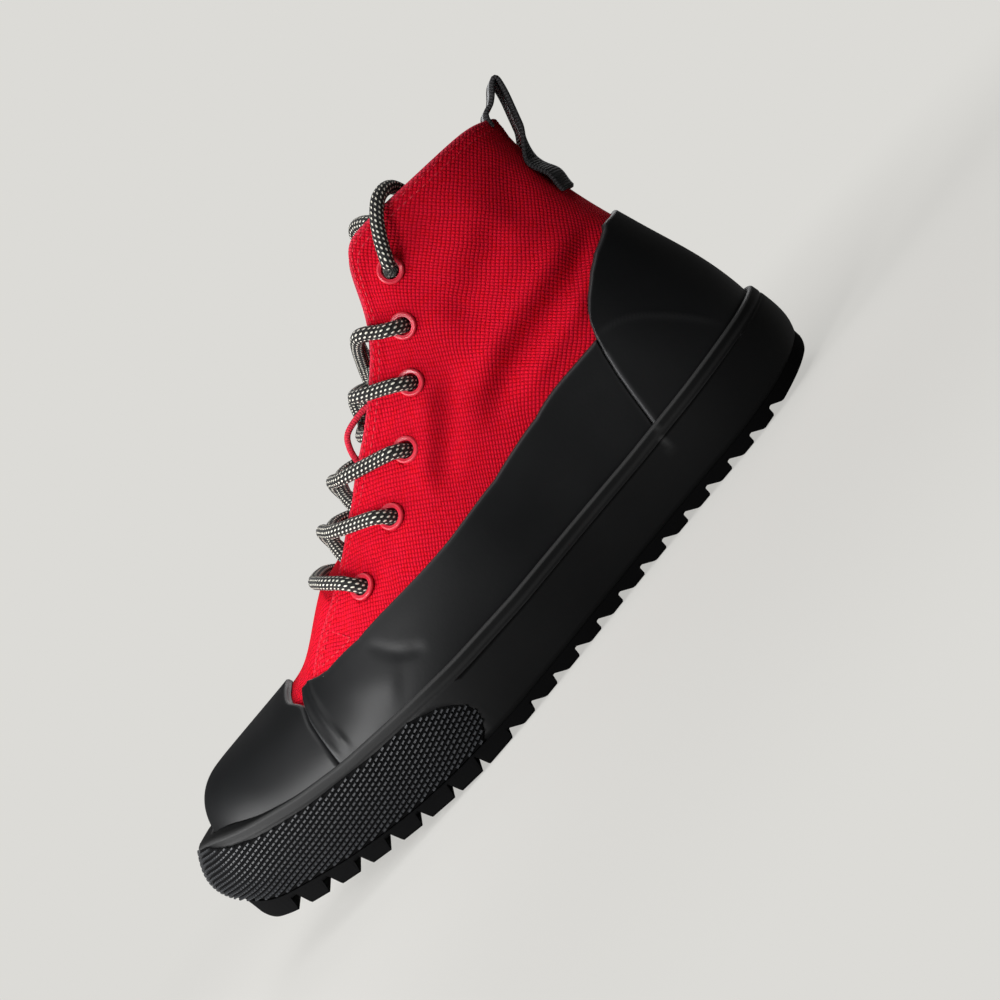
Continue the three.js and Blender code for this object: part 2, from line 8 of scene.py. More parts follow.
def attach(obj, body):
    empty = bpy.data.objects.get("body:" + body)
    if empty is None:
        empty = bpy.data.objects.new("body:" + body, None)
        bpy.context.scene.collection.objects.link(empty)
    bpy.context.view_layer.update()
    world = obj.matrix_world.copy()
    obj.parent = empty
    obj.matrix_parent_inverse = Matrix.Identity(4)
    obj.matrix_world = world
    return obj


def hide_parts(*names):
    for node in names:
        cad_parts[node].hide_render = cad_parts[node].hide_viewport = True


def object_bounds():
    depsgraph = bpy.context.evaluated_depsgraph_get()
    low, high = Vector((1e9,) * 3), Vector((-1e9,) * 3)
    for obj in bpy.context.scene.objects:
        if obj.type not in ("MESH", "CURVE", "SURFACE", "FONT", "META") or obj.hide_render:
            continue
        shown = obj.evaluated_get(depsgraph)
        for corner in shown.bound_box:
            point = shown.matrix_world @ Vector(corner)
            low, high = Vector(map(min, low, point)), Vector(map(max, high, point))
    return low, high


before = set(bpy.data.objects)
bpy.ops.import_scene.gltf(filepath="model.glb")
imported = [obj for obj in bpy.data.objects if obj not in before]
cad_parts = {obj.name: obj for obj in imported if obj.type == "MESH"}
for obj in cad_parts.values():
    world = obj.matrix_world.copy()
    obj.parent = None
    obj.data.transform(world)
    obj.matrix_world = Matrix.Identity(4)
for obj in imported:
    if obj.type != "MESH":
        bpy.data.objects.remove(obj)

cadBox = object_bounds()
print("frame loaded")

# Shapes are worked out in millimetres as s (toe tip to heel), y (towards the inner side) and z
shoe = {"length": 288.0, "sideShift": 1.75, "canvas": 2.0, "gap": 0.3}


def toFrame(points):
    points = np.asarray(points, float)
    return (points + [-shoe["length"] / 2, shoe["sideShift"], 0]) / 1000


# ---- camera and light
cameraSettings = {"lift": 4.5, "roll": 49.6, "lens": 85, "fill": 0.84}


def makeCamera():
    lift, roll = (math.radians(cameraSettings[k]) for k in ("lift", "roll"))
    back = Vector((0, -math.cos(lift), math.sin(lift)))
    level, steep = Vector((1, 0, 0)), Vector((0, math.sin(lift), math.cos(lift)))
    right = level * math.cos(roll) - steep * math.sin(roll)
    up = level * math.sin(roll) + steep * math.cos(roll)
    corners = [v.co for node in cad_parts.values() for v in node.data.vertices]
    spans = [(min(c.dot(axis) for c in corners), max(c.dot(axis) for c in corners)) for axis in (right, up)]
    middle = (cadBox[0] + cadBox[1]) / 2
    target = back * middle.dot(back)
    for axis, (low, high) in zip((right, up), spans):
        target = target + axis * (low + high) / 2
    data = bpy.data.cameras.new("camera")
    data.lens, data.sensor_width = cameraSettings["lens"], 36
    widest = max(high - low for low, high in spans)
    distance = widest / cameraSettings["fill"] * data.lens / data.sensor_width
    camera = bpy.data.objects.new("camera", data)
    bpy.context.scene.collection.objects.link(camera)
    turned = Matrix((right, up, back)).transposed().to_4x4()
    camera.matrix_world = Matrix.Translation(target + back * distance) @ turned
    bpy.context.scene.camera = camera


makeCamera()
print("camera placed")


# ---- meshes
def gridFaces(rows, columns, start=0, around=False):
    faces = []
    for i in range(rows - 1):
        for j in range(columns if around else columns - 1):
            k = (j + 1) % columns
            low, high = start + i * columns, start + (i + 1) * columns
            faces.append([low + j, low + k, high + k, high + j])
    return faces


def makeMesh(name, points, faces, materials, uv=None, faceMaterial=None, weld=False, edge=None, shared=None,
             flat=0):
    corners = np.concatenate([np.asarray(face, int) for face in faces])
    if shared is not None:
        faces = [[int(shared[k]) for k in face] for face in faces]
    mesh = bpy.data.meshes.new(name)
    mesh.from_pydata(toFrame(points).tolist(), [], [list(map(int, face)) for face in faces])
    for material in materials:
        mesh.materials.append(material)
    if faceMaterial is not None:
        mesh.polygons.foreach_set("material_index", np.asarray(faceMaterial, np.int32))
    if uv is not None:
        layer = mesh.uv_layers.new(name="cloth")
        layer.data.foreach_set("uv", np.asarray(uv, np.float32)[corners].ravel())
    if edge is not None:
        marks = mesh.attributes.new("edge", "FLOAT", "POINT")
        marks.data.foreach_set("value", np.asarray(edge, np.float32).ravel())
    mesh.polygons.foreach_set("use_smooth", [True] * (len(faces) - flat) + [False] * flat)
    work = bmesh.new()
    work.from_mesh(mesh)
    if weld:
        bmesh.ops.remove_doubles(work, verts=work.verts, dist=2e-6)
        bmesh.ops.dissolve_degenerate(work, edges=work.edges, dist=1e-6)
    bmesh.ops.delete(work, geom=[v for v in work.verts if not v.link_faces], context="VERTS")
    bmesh.ops.recalc_face_normals(work, faces=work.faces)
    work.to_mesh(mesh)
    work.free()
    obj = bpy.data.objects.new(name, mesh)
    bpy.context.scene.collection.objects.link(obj)
    return obj


def addPiece(obj, slot, *nodes):
    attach(obj, "root")
    if nodes:
        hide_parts(*nodes)
    return obj


def shellParts(shape, shared=None, drop=None):
    rows, columns = shape[:2]
    under = rows * columns
    same = np.arange(under) if shared is None else shared
    faces = gridFaces(rows, columns)
    if drop is not None:
        faces = [face for face, gone in zip(faces, drop) if not gone]
    count = {}
    for face in faces:
        for a, b in zip(face, face[1:] + face[:1]):
            count.setdefault(tuple(sorted((same[a], same[b]))), []).append((a, b))
    rim = [[b, a, a + under, b + under] for sides in count.values() if len(sides) == 1
           for a, b in sides if same[a] != same[b]]
    back = [[k + under for k in face[::-1]] for face in faces]
    return faces, back, rim


def shellMesh(name, outer, inner, materials, uv=None, shared=None, drop=None, edge=None, weld=False):
    faces, back, rim = shellParts(outer.shape, shared, drop)
    points = np.concatenate([outer.reshape(-1, 3), inner.reshape(-1, 3)])
    faceMaterial = [0] * len(faces) + [len(materials) - 1] * len(back) + [0] * len(rim)
    uv = None if uv is None else np.concatenate([uv.reshape(-1, 2)] * 2)
    edge = None if edge is None else np.concatenate([edge.ravel()] * 2)
    both = None if shared is None else np.concatenate([shared, shared + shared.size])
    return makeMesh(name, points, faces + back + rim, materials, uv, faceMaterial, weld, edge, both)


# a sheet of even thickness round a middle grid, with rounded edges
def sheetMesh(name, grid, out, edge, thick, radius, materials, marks, sink=0.0, wearAndHighlight=None, weld=False):
    rise = roundOff(edge, radius)[..., None] * thick / 2
    return shellMesh(name, grid + out * (rise - sink), grid - out * (rise + sink), materials, marks,
                     edge=wearAndHighlight, weld=weld)


def lengthsAlong(grid, axis):
    step = np.linalg.norm(np.diff(grid, axis=axis), axis=2)
    zero = np.zeros_like(np.take(step, [0], axis=axis))
    return np.concatenate([zero, np.cumsum(step, axis=axis)], axis=axis)


def arcLength(path):
    return np.concatenate([[0], np.cumsum(np.linalg.norm(np.diff(path, axis=0), axis=1))])


def edgeDistance(grid, sides):
    up, across = lengthsAlong(grid, 0), lengthsAlong(grid, 1)
    reach = {"bottom": up, "top": up[-1:] - up, "left": across, "right": across[:, -1:] - across}
    return np.min([reach[side] for side in sides], axis=0)


def roundOff(distance, radius):
    return np.sqrt(1 - (1 - np.clip(distance / radius, 0, 1)) ** 2)


def steps(count, first=0.0, final=0.0):
    near = np.array([0, 0.1, 0.32, 0.65])
    return np.concatenate([near * first if first else [], np.linspace(first, 1 - final, count),
                           (1 - near * final)[::-1] if final else []])


def smoothStep(value, low, high):
    f = np.clip((value - low) / (high - low), 0, 1)
    return f * f * (3 - 2 * f)


def hump(value, centre, width):
    return np.exp(-(((value - centre) / width) ** 2))


def onCurve(a, b, c, d, t):
    return 0.5 * (2 * b + (c - a) * t + (2 * a - 5 * b + 4 * c - d) * t**2 + (3 * b - a - 3 * c + d) * t**3)


def smoothPath(points, spacing):
    points = np.asarray(points, float)
    before = np.vstack([2 * points[0] - points[1], points, 2 * points[-1] - points[-2]])
    path = []
    for a, b, c, d in zip(before, before[1:], before[2:], before[3:]):
        count = max(2, int(np.linalg.norm(c - b) / spacing * 3))
        path.append(onCurve(a, b, c, d, np.linspace(0, 1, count, endpoint=False)[:, None]))
    path = np.vstack(path + [points[-1:]])
    length = arcLength(path)
    even = np.linspace(0, length[-1], max(2, int(length[-1] / spacing)) + 1)
    return np.stack([np.interp(even, length, path[:, k]) for k in range(points.shape[1])], axis=1)


def unit(vectors):
    return vectors / np.maximum(np.linalg.norm(vectors, axis=-1, keepdims=True), 1e-9)


# ---- the last and the sole, as rows round the shoe: toe tip, inner side, heel back, outer side
def table(columns, rows):
    return dict(zip(columns.split(), np.array(rows, float).T))


lastRows = table(
    "s lateral medial base topS topLateral topMedial topZ open rise bulge shoulder drop",
    [
        [16.5, -5, 5, 37, 36, -4, 4, 64, 0, 15, 1.5, 14, 0],
        [25.5, 21.5, 30, 35, 40, -3.5, 3.5, 64.2, 0, 17, 1, 17, 0],
        [45, 34, 39.5, 29.5, 48, -3, 3, 64.3, 0, 23, 4, 19, 0],
        [75, 43, 43, 25.5, 76, -1.5, 1.5, 64.6, 0, 23, 4, 24, 0],
        [105, 47, 42.5, 23.5, 106, 0, 0, 79, 0, 28, 3.5, 30, 0],
        [145, 43, 36, 22, 146, 20, 20, 96, 1, 36, 5, 10, 14],
        [181, 35.5, 30, 21.5, 186, 22, 22, 124, 1, 40, 5, 5, 20],
        [212, 32, 28, 21, 206, 26, 25, 149.5, 1, 38, 5, 2, 34],
        [243, 31, 30, 21, 235, 30, 29.5, 146.5, 1, 35, 4, -2, 45],
        [267, 23.5, 24, 21, 261, 21, 21, 143.3, 1, 31, 6, -7, 44],
        [280.5, 0, 0, 21, 272, 0, 0, 139, 1, 31, 8.5, -9.5, 44],
    ],
)
soleRows = table("s lateral medial topInset bottomInset", [
    [0, -6, 6, 8, 4], [12, 22, 34, 5.5, 3], [40, 39.5, 46, 2.2, 1.4], [75, 50.3, 51.2, 1.2, 1],
    [108, 55, 50.5, 1.2, 1], [145, 51, 44, 1.2, 1], [185, 42.5, 37, 1.2, 1], [215, 39, 35.5, 1.2, 1],
    [243, 37.5, 37, 1.2, 1], [274, 27, 28.5, 1, 2], [288, 0, 0, 1, 3],
])
lipLine = np.array([[8, 52], [15, 52.5], [20, 50.5], [30, 47], [50, 41.5], [70, 37.8], [100, 34.5],
                    [120, 32.5], [150, 31], [210, 30.3], [240, 31], [288, 33]], float)
footLine = np.array([[0, 30], [10, 23.5], [18, 20], [30, 17], [45, 13], [60, 10], [75, 7.5], [90, 6],
                     [120, 4.5], [240, 4.5], [262, 5.5], [275, 7.5], [288, 10]], float)
turns = 20
fine = 800  # values kept round the ring


def evenLine(line, s):
    spread = np.linspace(-4, 4, 9)  # a short running mean takes the corners off the line
    return np.mean([np.interp(s + shift, line[:, 0], line[:, 1]) for shift in spread], axis=0)


def slopeOf(p, q, r):
    return np.where((q - p) * (r - q) > 0, 2 * (q - p) * (r - q) / np.where(r == p, 1, r - p), 0)


def ringOf(rows, **sides):
    pairs = {name: (values, values) for name, values in rows.items()}
    pairs.update({name: (rows[medial], -rows[lateral]) for name, (medial, lateral) in sides.items()})
    place = np.arange(fine) * turns / fine
    i = np.floor(place).astype(int)
    f = place - i
    g = 1 - f
    soft = np.exp(-2 * (np.pi * np.fft.rfftfreq(fine, turns / fine) * 0.14) ** 2)  # takes the knots off
    ring = {}
    for name, (inner, outer) in pairs.items():
        values = np.concatenate([inner, outer[-2:0:-1]])
        a, b, c, d = (values[(i + k) % turns] for k in (-1, 0, 1, 2))
        raw = (b * g * g * (1 + 2 * f) + c * f * f * (1 + 2 * g)
               + slopeOf(a, b, c) * g * g * f - slopeOf(b, c, d) * f * f * g)
        ring[name] = np.fft.irfft(np.fft.rfft(raw) * soft, fine)
    return ring


last = ringOf(lastRows, y=("medial", "lateral"), topY=("topMedial", "topLateral"))
sole = ringOf(soleRows, y=("medial", "lateral"))


def ringAt(values, u):
    place = np.asarray(u, float) * fine / turns
    i = np.floor(place).astype(int)
    return onCurve(*(values[(i + k) % fine] for k in (-1, 0, 1, 2)), place - i)


def outwardAt(ring, u):
    ds, dy = (ringAt(ring[name], u + 0.05) - ringAt(ring[name], u - 0.05) for name in ("s", "y"))
    return unit(np.stack([-dy, ds, np.zeros_like(ds)], axis=-1))


# a point on the last: u round the foot, v from its lower edge (0) to the collar or the ridge (1)
def wallAt(u, v):
    u, v = np.broadcast_arrays(np.asarray(u, float), np.asarray(v, float))
    read = {name: ringAt(values, u)[..., None] for name, values in last.items()}
    outward, raised = outwardAt(last, u), np.array([0, 0, 1.0])
    bottom = np.concatenate([read["s"], read["y"], read["base"]], axis=-1)
    top = np.concatenate([read["topS"], read["topY"], read["topZ"]], axis=-1)
    low = bottom + outward * read["bulge"] + raised * read["rise"]
    high = top + outward * read["shoulder"] - raised * read["drop"]
    v = v[..., None]
    w = 1 - v
    return bottom * w**3 + 3 * low * w * w * v + 3 * high * w * v * v + top * v**3


def wallNormal(u, v):
    level = np.clip(v, 0.02, 0.98)
    around = wallAt(u + 0.04, level) - wallAt(u - 0.04, level)
    upward = wallAt(u, level + 0.02) - wallAt(u, level - 0.02)
    return unit(np.cross(upward, around))


def skin(u, v, offset=0.0):
    offset = np.asarray(offset, float)
    return wallAt(u, v) + wallNormal(u, v) * (offset[..., None] if offset.ndim else offset)


def ringPlace(side, half):
    return half if side > 0 else turns - half


# the place on one side of the wall that has this s and z
def locate(side, s, z):
    s, z = (np.atleast_1d(np.asarray(x, float)).ravel() for x in (s, z))
    halves, levels = np.meshgrid(np.linspace(0.2, 9.8, 97), np.linspace(0.02, 0.99, 40))
    grid = wallAt(ringPlace(side, halves), levels).reshape(-1, 3)
    nearest = np.array([np.argmin((grid[:, 0] - a) ** 2 + (grid[:, 2] - b) ** 2) for a, b in zip(s, z)])
    half, v = halves.ravel()[nearest], levels.ravel()[nearest]
    for _ in range(14):
        p = wallAt(ringPlace(side, half), v)
        dh = (wallAt(ringPlace(side, half + 0.01), v) - p) / 0.01
        dv = (wallAt(ringPlace(side, half), v + 0.001) - p) / 0.001
        missS, missZ = s - p[:, 0], z - p[:, 2]
        det = dh[:, 0] * dv[:, 2] - dv[:, 0] * dh[:, 2]
        det = np.where(np.abs(det) < 1e-3, 1e-3, det)
        half = half + np.clip((missS * dv[:, 2] - dv[:, 0] * missZ) / det, -0.3, 0.3)
        v = np.clip(v + np.clip((dh[:, 0] * missZ - missS * dh[:, 2]) / det, -0.1, 0.1), 0, 1)
        half = np.clip(half, 0, 10)
    return half, v


def spotAt(side, s, z):
    half, v = locate(side, [s], [z])
    place = ringPlace(side, half)
    return wallAt(place, v)[0], wallNormal(place, v)[0]


# ---- material tools
def plug(tree, socket, value):
    if isinstance(value, bpy.types.NodeSocket):
        tree.links.new(value, socket)
    else:
        socket.default_value = value


def addNode(tree, kind, links=None, **settings):
    node = tree.nodes.new("ShaderNode" + kind)
    for name, value in settings.items():
        setattr(node, name, value)
    for key, value in (links or {}).items():
        plug(tree, node.inputs[key], value)
    return node


def calc(tree, operation, *values):
    return addNode(tree, "Math", dict(enumerate(values)), operation=operation).outputs[0]


def fade(tree, value, low, high):
    return addNode(tree, "MapRange", {"Value": value, "From Min": low, "From Max": high},
                   interpolation_type="SMOOTHSTEP").outputs["Result"]


def blendColor(tree, mask, first, second, blend="MIX"):
    return addNode(tree, "Mix", {0: mask, 6: first, 7: second}, data_type="RGBA", blend_type=blend).outputs[2]


def newGroup(name, inputs, outputs):
    tree = bpy.data.node_groups.new(name, "ShaderNodeTree")
    for direction, sockets in (("INPUT", inputs), ("OUTPUT", outputs)):
        for socketName, kind in sockets.items():
            tree.interface.new_socket(socketName, in_out=direction, socket_type="NodeSocket" + kind)
    return tree, tree.nodes.new("NodeGroupInput").outputs, tree.nodes.new("NodeGroupOutput").inputs


def useGroup(tree, group, links):
    return addNode(tree, "Group", links, node_tree=group).outputs


def newMaterial(name, **shader):
    material = bpy.data.materials.new(name)
    material.use_nodes = True
    tree = material.node_tree
    principled = tree.nodes["Principled BSDF"]
    for key, value in shader.items():
        principled.inputs[key.replace("_", " ")].default_value = value
    return material, tree, principled.inputs


def bumpFrom(tree, height, distance, strength=1.0):
    return addNode(tree, "Bump", {"Height": height, "Distance": distance, "Strength": strength}).outputs[0]


# plain weave: two sets of round threads that pass over each other in turn
def makeWeaveGroup():
    tree, given, out = newGroup("clothWeave", {"Vector": "Vector", "Pitch": "Float", "Turn": "Float"},
                                {"Height": "Float", "Thread": "Float", "Slub": "Float"})
    turned = addNode(tree, "VectorRotate", {"Vector": given["Vector"], "Angle": given["Turn"]},
                     rotation_type="Z_AXIS").outputs[0]
    wobble = addNode(tree, "TexNoise", {"Vector": turned, "Scale": 0.09, "Detail": 1.0}).outputs["Color"]
    moved = addNode(tree, "VectorMath", {0: wobble, 1: (1.1, 1.1, 0)}, operation="MULTIPLY").outputs[0]
    shifted = addNode(tree, "VectorMath", {0: turned, 1: moved}, operation="ADD").outputs[0]
    axes = addNode(tree, "SeparateXYZ", {0: shifted}).outputs
    cells = [calc(tree, "DIVIDE", axes[k], given["Pitch"]) for k in (0, 1)]
    hills = [calc(tree, "ABSOLUTE", calc(tree, "SINE",
                                         calc(tree, "MULTIPLY", cell, math.pi))) for cell in cells]
    parity = calc(tree, "MODULO", calc(tree, "ADD", *(calc(tree, "FLOOR", cell) for cell in cells)), 2.0)
    parity = calc(tree, "ABSOLUTE", parity)
    over = []
    for across, length in (hills, hills[::-1]):
        crown = calc(tree, "POWER", across, 0.55)
        over.append(calc(tree, "MULTIPLY", crown, calc(tree, "MULTIPLY_ADD", length, 0.55, 0.45)))
    height = addNode(tree, "Mix", {0: parity, 2: over[0], 3: over[1]}, data_type="FLOAT").outputs[0]
    slub = addNode(tree, "TexNoise", {"Vector": given["Vector"], "Scale": 0.35, "Detail": 3.0})
    tree.links.new(height, out["Height"])
    tree.links.new(fade(tree, height, 0.25, 0.95), out["Thread"])
    tree.links.new(slub.outputs[0], out["Slub"])
    return tree


# round braid: dark yarn with pale flecks in slanting rows
def makeBraidGroup():
    tree, given, out = newGroup("braidFlecks", {"Vector": "Vector", "Rows": "Float", "Pitch": "Float"},
                                {"Fleck": "Float", "Height": "Float"})
    axes = addNode(tree, "SeparateXYZ", {0: given["Vector"]}).outputs
    row = calc(tree, "MULTIPLY", axes[0], given["Rows"])
    stagger = calc(tree, "MULTIPLY", calc(tree, "FLOOR", row), 0.5)
    step = calc(tree, "ADD", calc(tree, "DIVIDE", axes[1], given["Pitch"]), stagger)
    a = calc(tree, "SUBTRACT", calc(tree, "FRACT", row), 0.5)
    b = calc(tree, "SUBTRACT", calc(tree, "FRACT", step), 0.5)
    slanted = calc(tree, "MULTIPLY_ADD", b, 0.45, a)
    far = calc(tree, "ADD", calc(tree, "POWER", calc(tree, "DIVIDE", slanted, 0.215), 2.0),
               calc(tree, "POWER", calc(tree, "DIVIDE", b, 0.27), 2.0))
    tree.links.new(calc(tree, "SUBTRACT", 1.0, fade(tree, far, 0.7, 1.25)), out["Fleck"])
    cell = calc(tree, "MULTIPLY", calc(tree, "COSINE", calc(tree, "MULTIPLY", slanted, math.pi)),
                calc(tree, "COSINE", calc(tree, "MULTIPLY", b, math.pi)))
    tree.links.new(cell, out["Height"])
    return tree


# moulded rubber: faint mottle, fine grain and a few pale dust specks
def makeRubberGroup():
    tree, given, out = newGroup("rubberFinish", {"Vector": "Vector", "Dust": "Float"},
                                {"Mottle": "Float", "Grain": "Float", "Speck": "Float"})
    mottle = addNode(tree, "TexNoise", {"Vector": given["Vector"], "Scale": 38.0, "Detail": 4.0})
    grain = addNode(tree, "TexNoise", {"Vector": given["Vector"], "Scale": 900.0, "Detail": 2.0})
    cells = addNode(tree, "TexVoronoi", {"Vector": given["Vector"], "Scale": 210.0})
    chosen = calc(tree, "GREATER_THAN", addNode(tree, "SeparateColor",
                                                {0: cells.outputs["Color"]}).outputs[0],
                  calc(tree, "SUBTRACT", 1.0, given["Dust"]))
    dot = calc(tree, "LESS_THAN", cells.outputs["Distance"], 0.085)
    tree.links.new(mottle.outputs[0], out["Mottle"])
    tree.links.new(grain.outputs[0], out["Grain"])
    tree.links.new(calc(tree, "MULTIPLY", chosen, dot), out["Speck"])
    return tree


weaveGroup, braidGroup, rubberGroup = makeWeaveGroup(), makeBraidGroup(), makeRubberGroup()


def uvOf(tree):
    return addNode(tree, "UVMap", uv_map="cloth").outputs[0]


def edgeOf(tree):
    return addNode(tree, "Attribute", attribute_name="edge").outputs["Fac"]


def objectPlace(tree):
    return addNode(tree, "TexCoord").outputs["Object"]


# a plain finish with a faint mottle, and a paler colour on its marked edges if one is given; on the eyelets that paler
# colour is a painted highlight
def makeMottled(name, dark, pale, wornAndHighlit=None, **settings):
    material, tree, shader = newMaterial(name, **settings)
    finish = useGroup(tree, rubberGroup, {"Vector": objectPlace(tree), "Dust": 0.0})
    colour = blendColor(tree, finish["Mottle"], dark, pale)
    if wornAndHighlit:
        colour = blendColor(tree, edgeOf(tree), colour, wornAndHighlit)
    plug(tree, shader["Base Color"], colour)
    return material


canvasSettings = {
    # each valley colour is painted shade between the threads
    "redCanvas": ((0.80, 0.0050, 0.031, 1), (0.55, 0.0026, 0.015, 1), 1.3, 0.86, 0.00036),
    "redHem": ((0.80, 0.0050, 0.031, 1), (0.55, 0.0026, 0.015, 1), 0.9, 0.3, 0.0003),
    # the lining is a darker copy of the red canvas: painted shade inside the shoe
    "shadedRedLining": ((0.30, 0.006, 0.014, 1), (0.13, 0.002, 0.005, 1), 0.8, 0.1, 0.0002),
    "darkFootbed": ((0.02, 0.012, 0.013, 1), (0.008, 0.005, 0.006, 1), 0.8, 0.0, 0.0002),
    "darkLabel": ((0.10, 0.004, 0.008, 1), (0.05, 0.002, 0.004, 1), 0.7, 0.0, 0.0002),
}  # thread, valley, pitch in mm, turn in radians, depth in metres


def makeCanvas(name):
    thread, valleyShade, pitch, turn, depth = canvasSettings[name]
    material, tree, shader = newMaterial(name, Roughness=0.9, Specular_IOR_Level=0.12)
    weave = useGroup(tree, weaveGroup, {"Vector": uvOf(tree), "Pitch": pitch, "Turn": turn})
    # the valleys between the threads are painted darker as shade and the thread crowns lighter
    colour = blendColor(tree, weave["Thread"], valleyShade, thread)
    colour = blendColor(tree, fade(tree, weave["Slub"], 0.35, 0.75), colour, (1.0, 0.55, 0.6, 1), "MULTIPLY")
    pale = blendColor(tree, calc(tree, "MULTIPLY", edgeOf(tree), 0.55), colour, (0.72, 0.07, 0.12, 1))
    plug(tree, shader["Base Color"], pale)
    plug(tree, shader["Normal"], bumpFrom(tree, weave["Height"], depth))
    return material


canvasCloth, hemCloth, shadedLiningCloth, footbedCloth, labelCloth = (makeCanvas(name) for name in canvasSettings)
rubberSettings = {
    "satinRubber": ((0.0034, 0.0037, 0.0042, 1), (0.075, 0.075, 0.078, 1), 0.45, 0.012, 0.7, 0.36),
    "sidewallRubber": ((0.0030, 0.0031, 0.0033, 1), (0.06, 0.06, 0.06, 1), 0.5, 0.006, 0.6, 0.22),
    "treadRubber": ((0.0034, 0.0036, 0.0040, 1), (0.035, 0.037, 0.041, 1), 0.46, 0.004, 0.8, 0.5),
    "matteRubber": ((0.0020, 0.0020, 0.0022, 1), (0.01, 0.01, 0.01, 1), 0.8, 0.0, 0.0, 0.08),
}  # colour, paler colour for wear and painted highlights, roughness, share of dust specks, strength of the wear and painted highlights, gloss




def makeRubber(name):
    colour, wornAndHighlitColour, roughness, dust, wearAndHighlight, gloss = rubberSettings[name]
    material, tree, shader = newMaterial(name, Specular_IOR_Level=gloss)
    finish = useGroup(tree, rubberGroup, {"Vector": objectPlace(tree), "Dust": dust})
    # the edge mark blends in the paler colour: real scuffs and wear, and painted highlights on the dash tops and the
    # sole's lip
    wornAndHighlit = calc(tree, "MULTIPLY", edgeOf(tree), wearAndHighlight)
    base = blendColor(tree, finish["Mottle"], colour, tuple(c * 1.5 for c in colour[:3]) + (1,))
    base = blendColor(tree, wornAndHighlit, base, wornAndHighlitColour)
    plug(tree, shader["Base Color"], blendColor(tree, finish["Speck"], base, (0.55, 0.54, 0.52, 1)))
    rough = {"Value": finish["Mottle"], "To Min": roughness - 0.05, "To Max": roughness + 0.08}
    plug(tree, shader["Roughness"], addNode(tree, "MapRange", rough).outputs["Result"])
    plug(tree, shader["Normal"], bumpFrom(tree, finish["Grain"], 0.00004, 0.6))
    return material






capRubber, wallRubber, treadRubber, matteRubber = (makeRubber(name) for name in rubberSettings)


def makeLaceCloth():
    material, tree, shader = newMaterial("laceBraid", Roughness=0.8, Sheen_Weight=0.1)
    braid = useGroup(tree, braidGroup, {"Vector": uvOf(tree), "Rows": 10.0, "Pitch": 1.75})
    colour = blendColor(tree, braid["Fleck"], (0.006, 0.0055, 0.0055, 1), (0.86, 0.83, 0.72, 1))
    plug(tree, shader["Base Color"], colour)
    plug(tree, shader["Normal"], bumpFrom(tree, braid["Height"], 0.00035))
    return material


laceCloth = makeLaceCloth()
print("materials made")

# ---- laces
flapRows = table("s half z", [
    [95, 20, 69], [106, 20, 73.5], [119, 20, 80], [131, 20, 87], [146, 20, 96],
    [167, 20.5, 109], [186, 22, 124], [192, 23, 132.5], [200, 25, 144], [206, 26, 149.5],
])
eyeletRows = table("s z", [[118.5, 69.5], [143, 77.5], [163.5, 88.5], [182, 102], [195, 116.5], [206.5, 132]])
eyeletSpots = {(side, k): spotAt(side, eyeletRows["s"][k - 1], eyeletRows["z"][k - 1])
               for side in (-1, 1) for k in range(1, 7)}
laceSettings = {"radius": 2.5, "sides": 18, "spacing": 0.9}


def tubeAlong(path, radius, sides, taper):
    ahead = unit(np.gradient(path, axis=0))
    upward = np.array([0, 0, 1.0]) if abs(ahead[0][2]) < 0.9 else np.array([1.0, 0, 0])
    across = unit(upward - ahead[0] * upward.dot(ahead[0]))
    rings, marks = [], []
    angles = np.arange(sides + 1) * 2 * np.pi / sides
    for i, (point, length) in enumerate(zip(path, arcLength(path))):
        across = unit(across - ahead[i] * across.dot(ahead[i]))
        side = np.cross(ahead[i], across)
        size = radius if taper is None else radius * taper[i]
        rings.append(point + size * (np.cos(angles)[:, None] * across + np.sin(angles)[:, None] * side))
        marks.append(np.stack([angles / (2 * np.pi), np.full(sides + 1, length)], axis=1))
    return np.array(rings), np.array(marks)


def tubeMesh(name, paths, radius, sides, material, taper=None):
    points, faces, uv = [], [], []
    for path in paths:
        rings, marks = tubeAlong(path, radius, sides, taper)
        start = sum(map(len, points))
        count = sides + 1
        faces += gridFaces(len(rings), count, start)
        points += [rings.reshape(-1, 3), path[[0, -1]]]
        uv += [marks.reshape(-1, 2), np.zeros((2, 2))]
        ends, final = start + len(rings) * count, start + (len(rings) - 1) * count
        faces += [[ends, start + j + 1, start + j] for j in range(sides)]
        faces += [[ends + 1, final + j, final + j + 1] for j in range(sides)]
    return makeMesh(name, np.vstack(points), faces, [material], np.vstack(uv), weld=True)


def makeLace(name, *routes):
    paths = [smoothPath(route, laceSettings["spacing"]) for route in routes]
    return tubeMesh(name, paths, laceSettings["radius"], laceSettings["sides"], laceCloth)


laceEnds = {
    "lateral": [
        (207.2, -31.2, 133.4), (208.6, -33.2, 136), (212, -33.8, 141.2), (216.5, -33.2, 146.6),
        (221.5, -31, 150.4), (226, -27, 151.2), (229, -21.5, 149.4), (230.4, -17, 144),
        (230.6, -14.6, 136), (230, -13.4, 126), (229, -12.6, 115), (228, -12, 104),
    ],
    "medial": [
        (207.2, 30.4, 133.4), (208, 32.4, 136.8), (208.8, 32.2, 142.5), (209.8, 30.6, 148.4),
        (211.4, 26.4, 151.9), (214, 20, 152), (217, 13.5, 148.8), (219.2, 9.2, 142),
        (219.6, 7.6, 133), (219.6, 7, 123), (219, 6.8, 113), (218, 6.8, 104),
    ],
}
agletSettings = {"length": 14.0, "radius": 2.15, "sides": 20, "collar": 1.28, "body": 1.22, "point": 0.12}


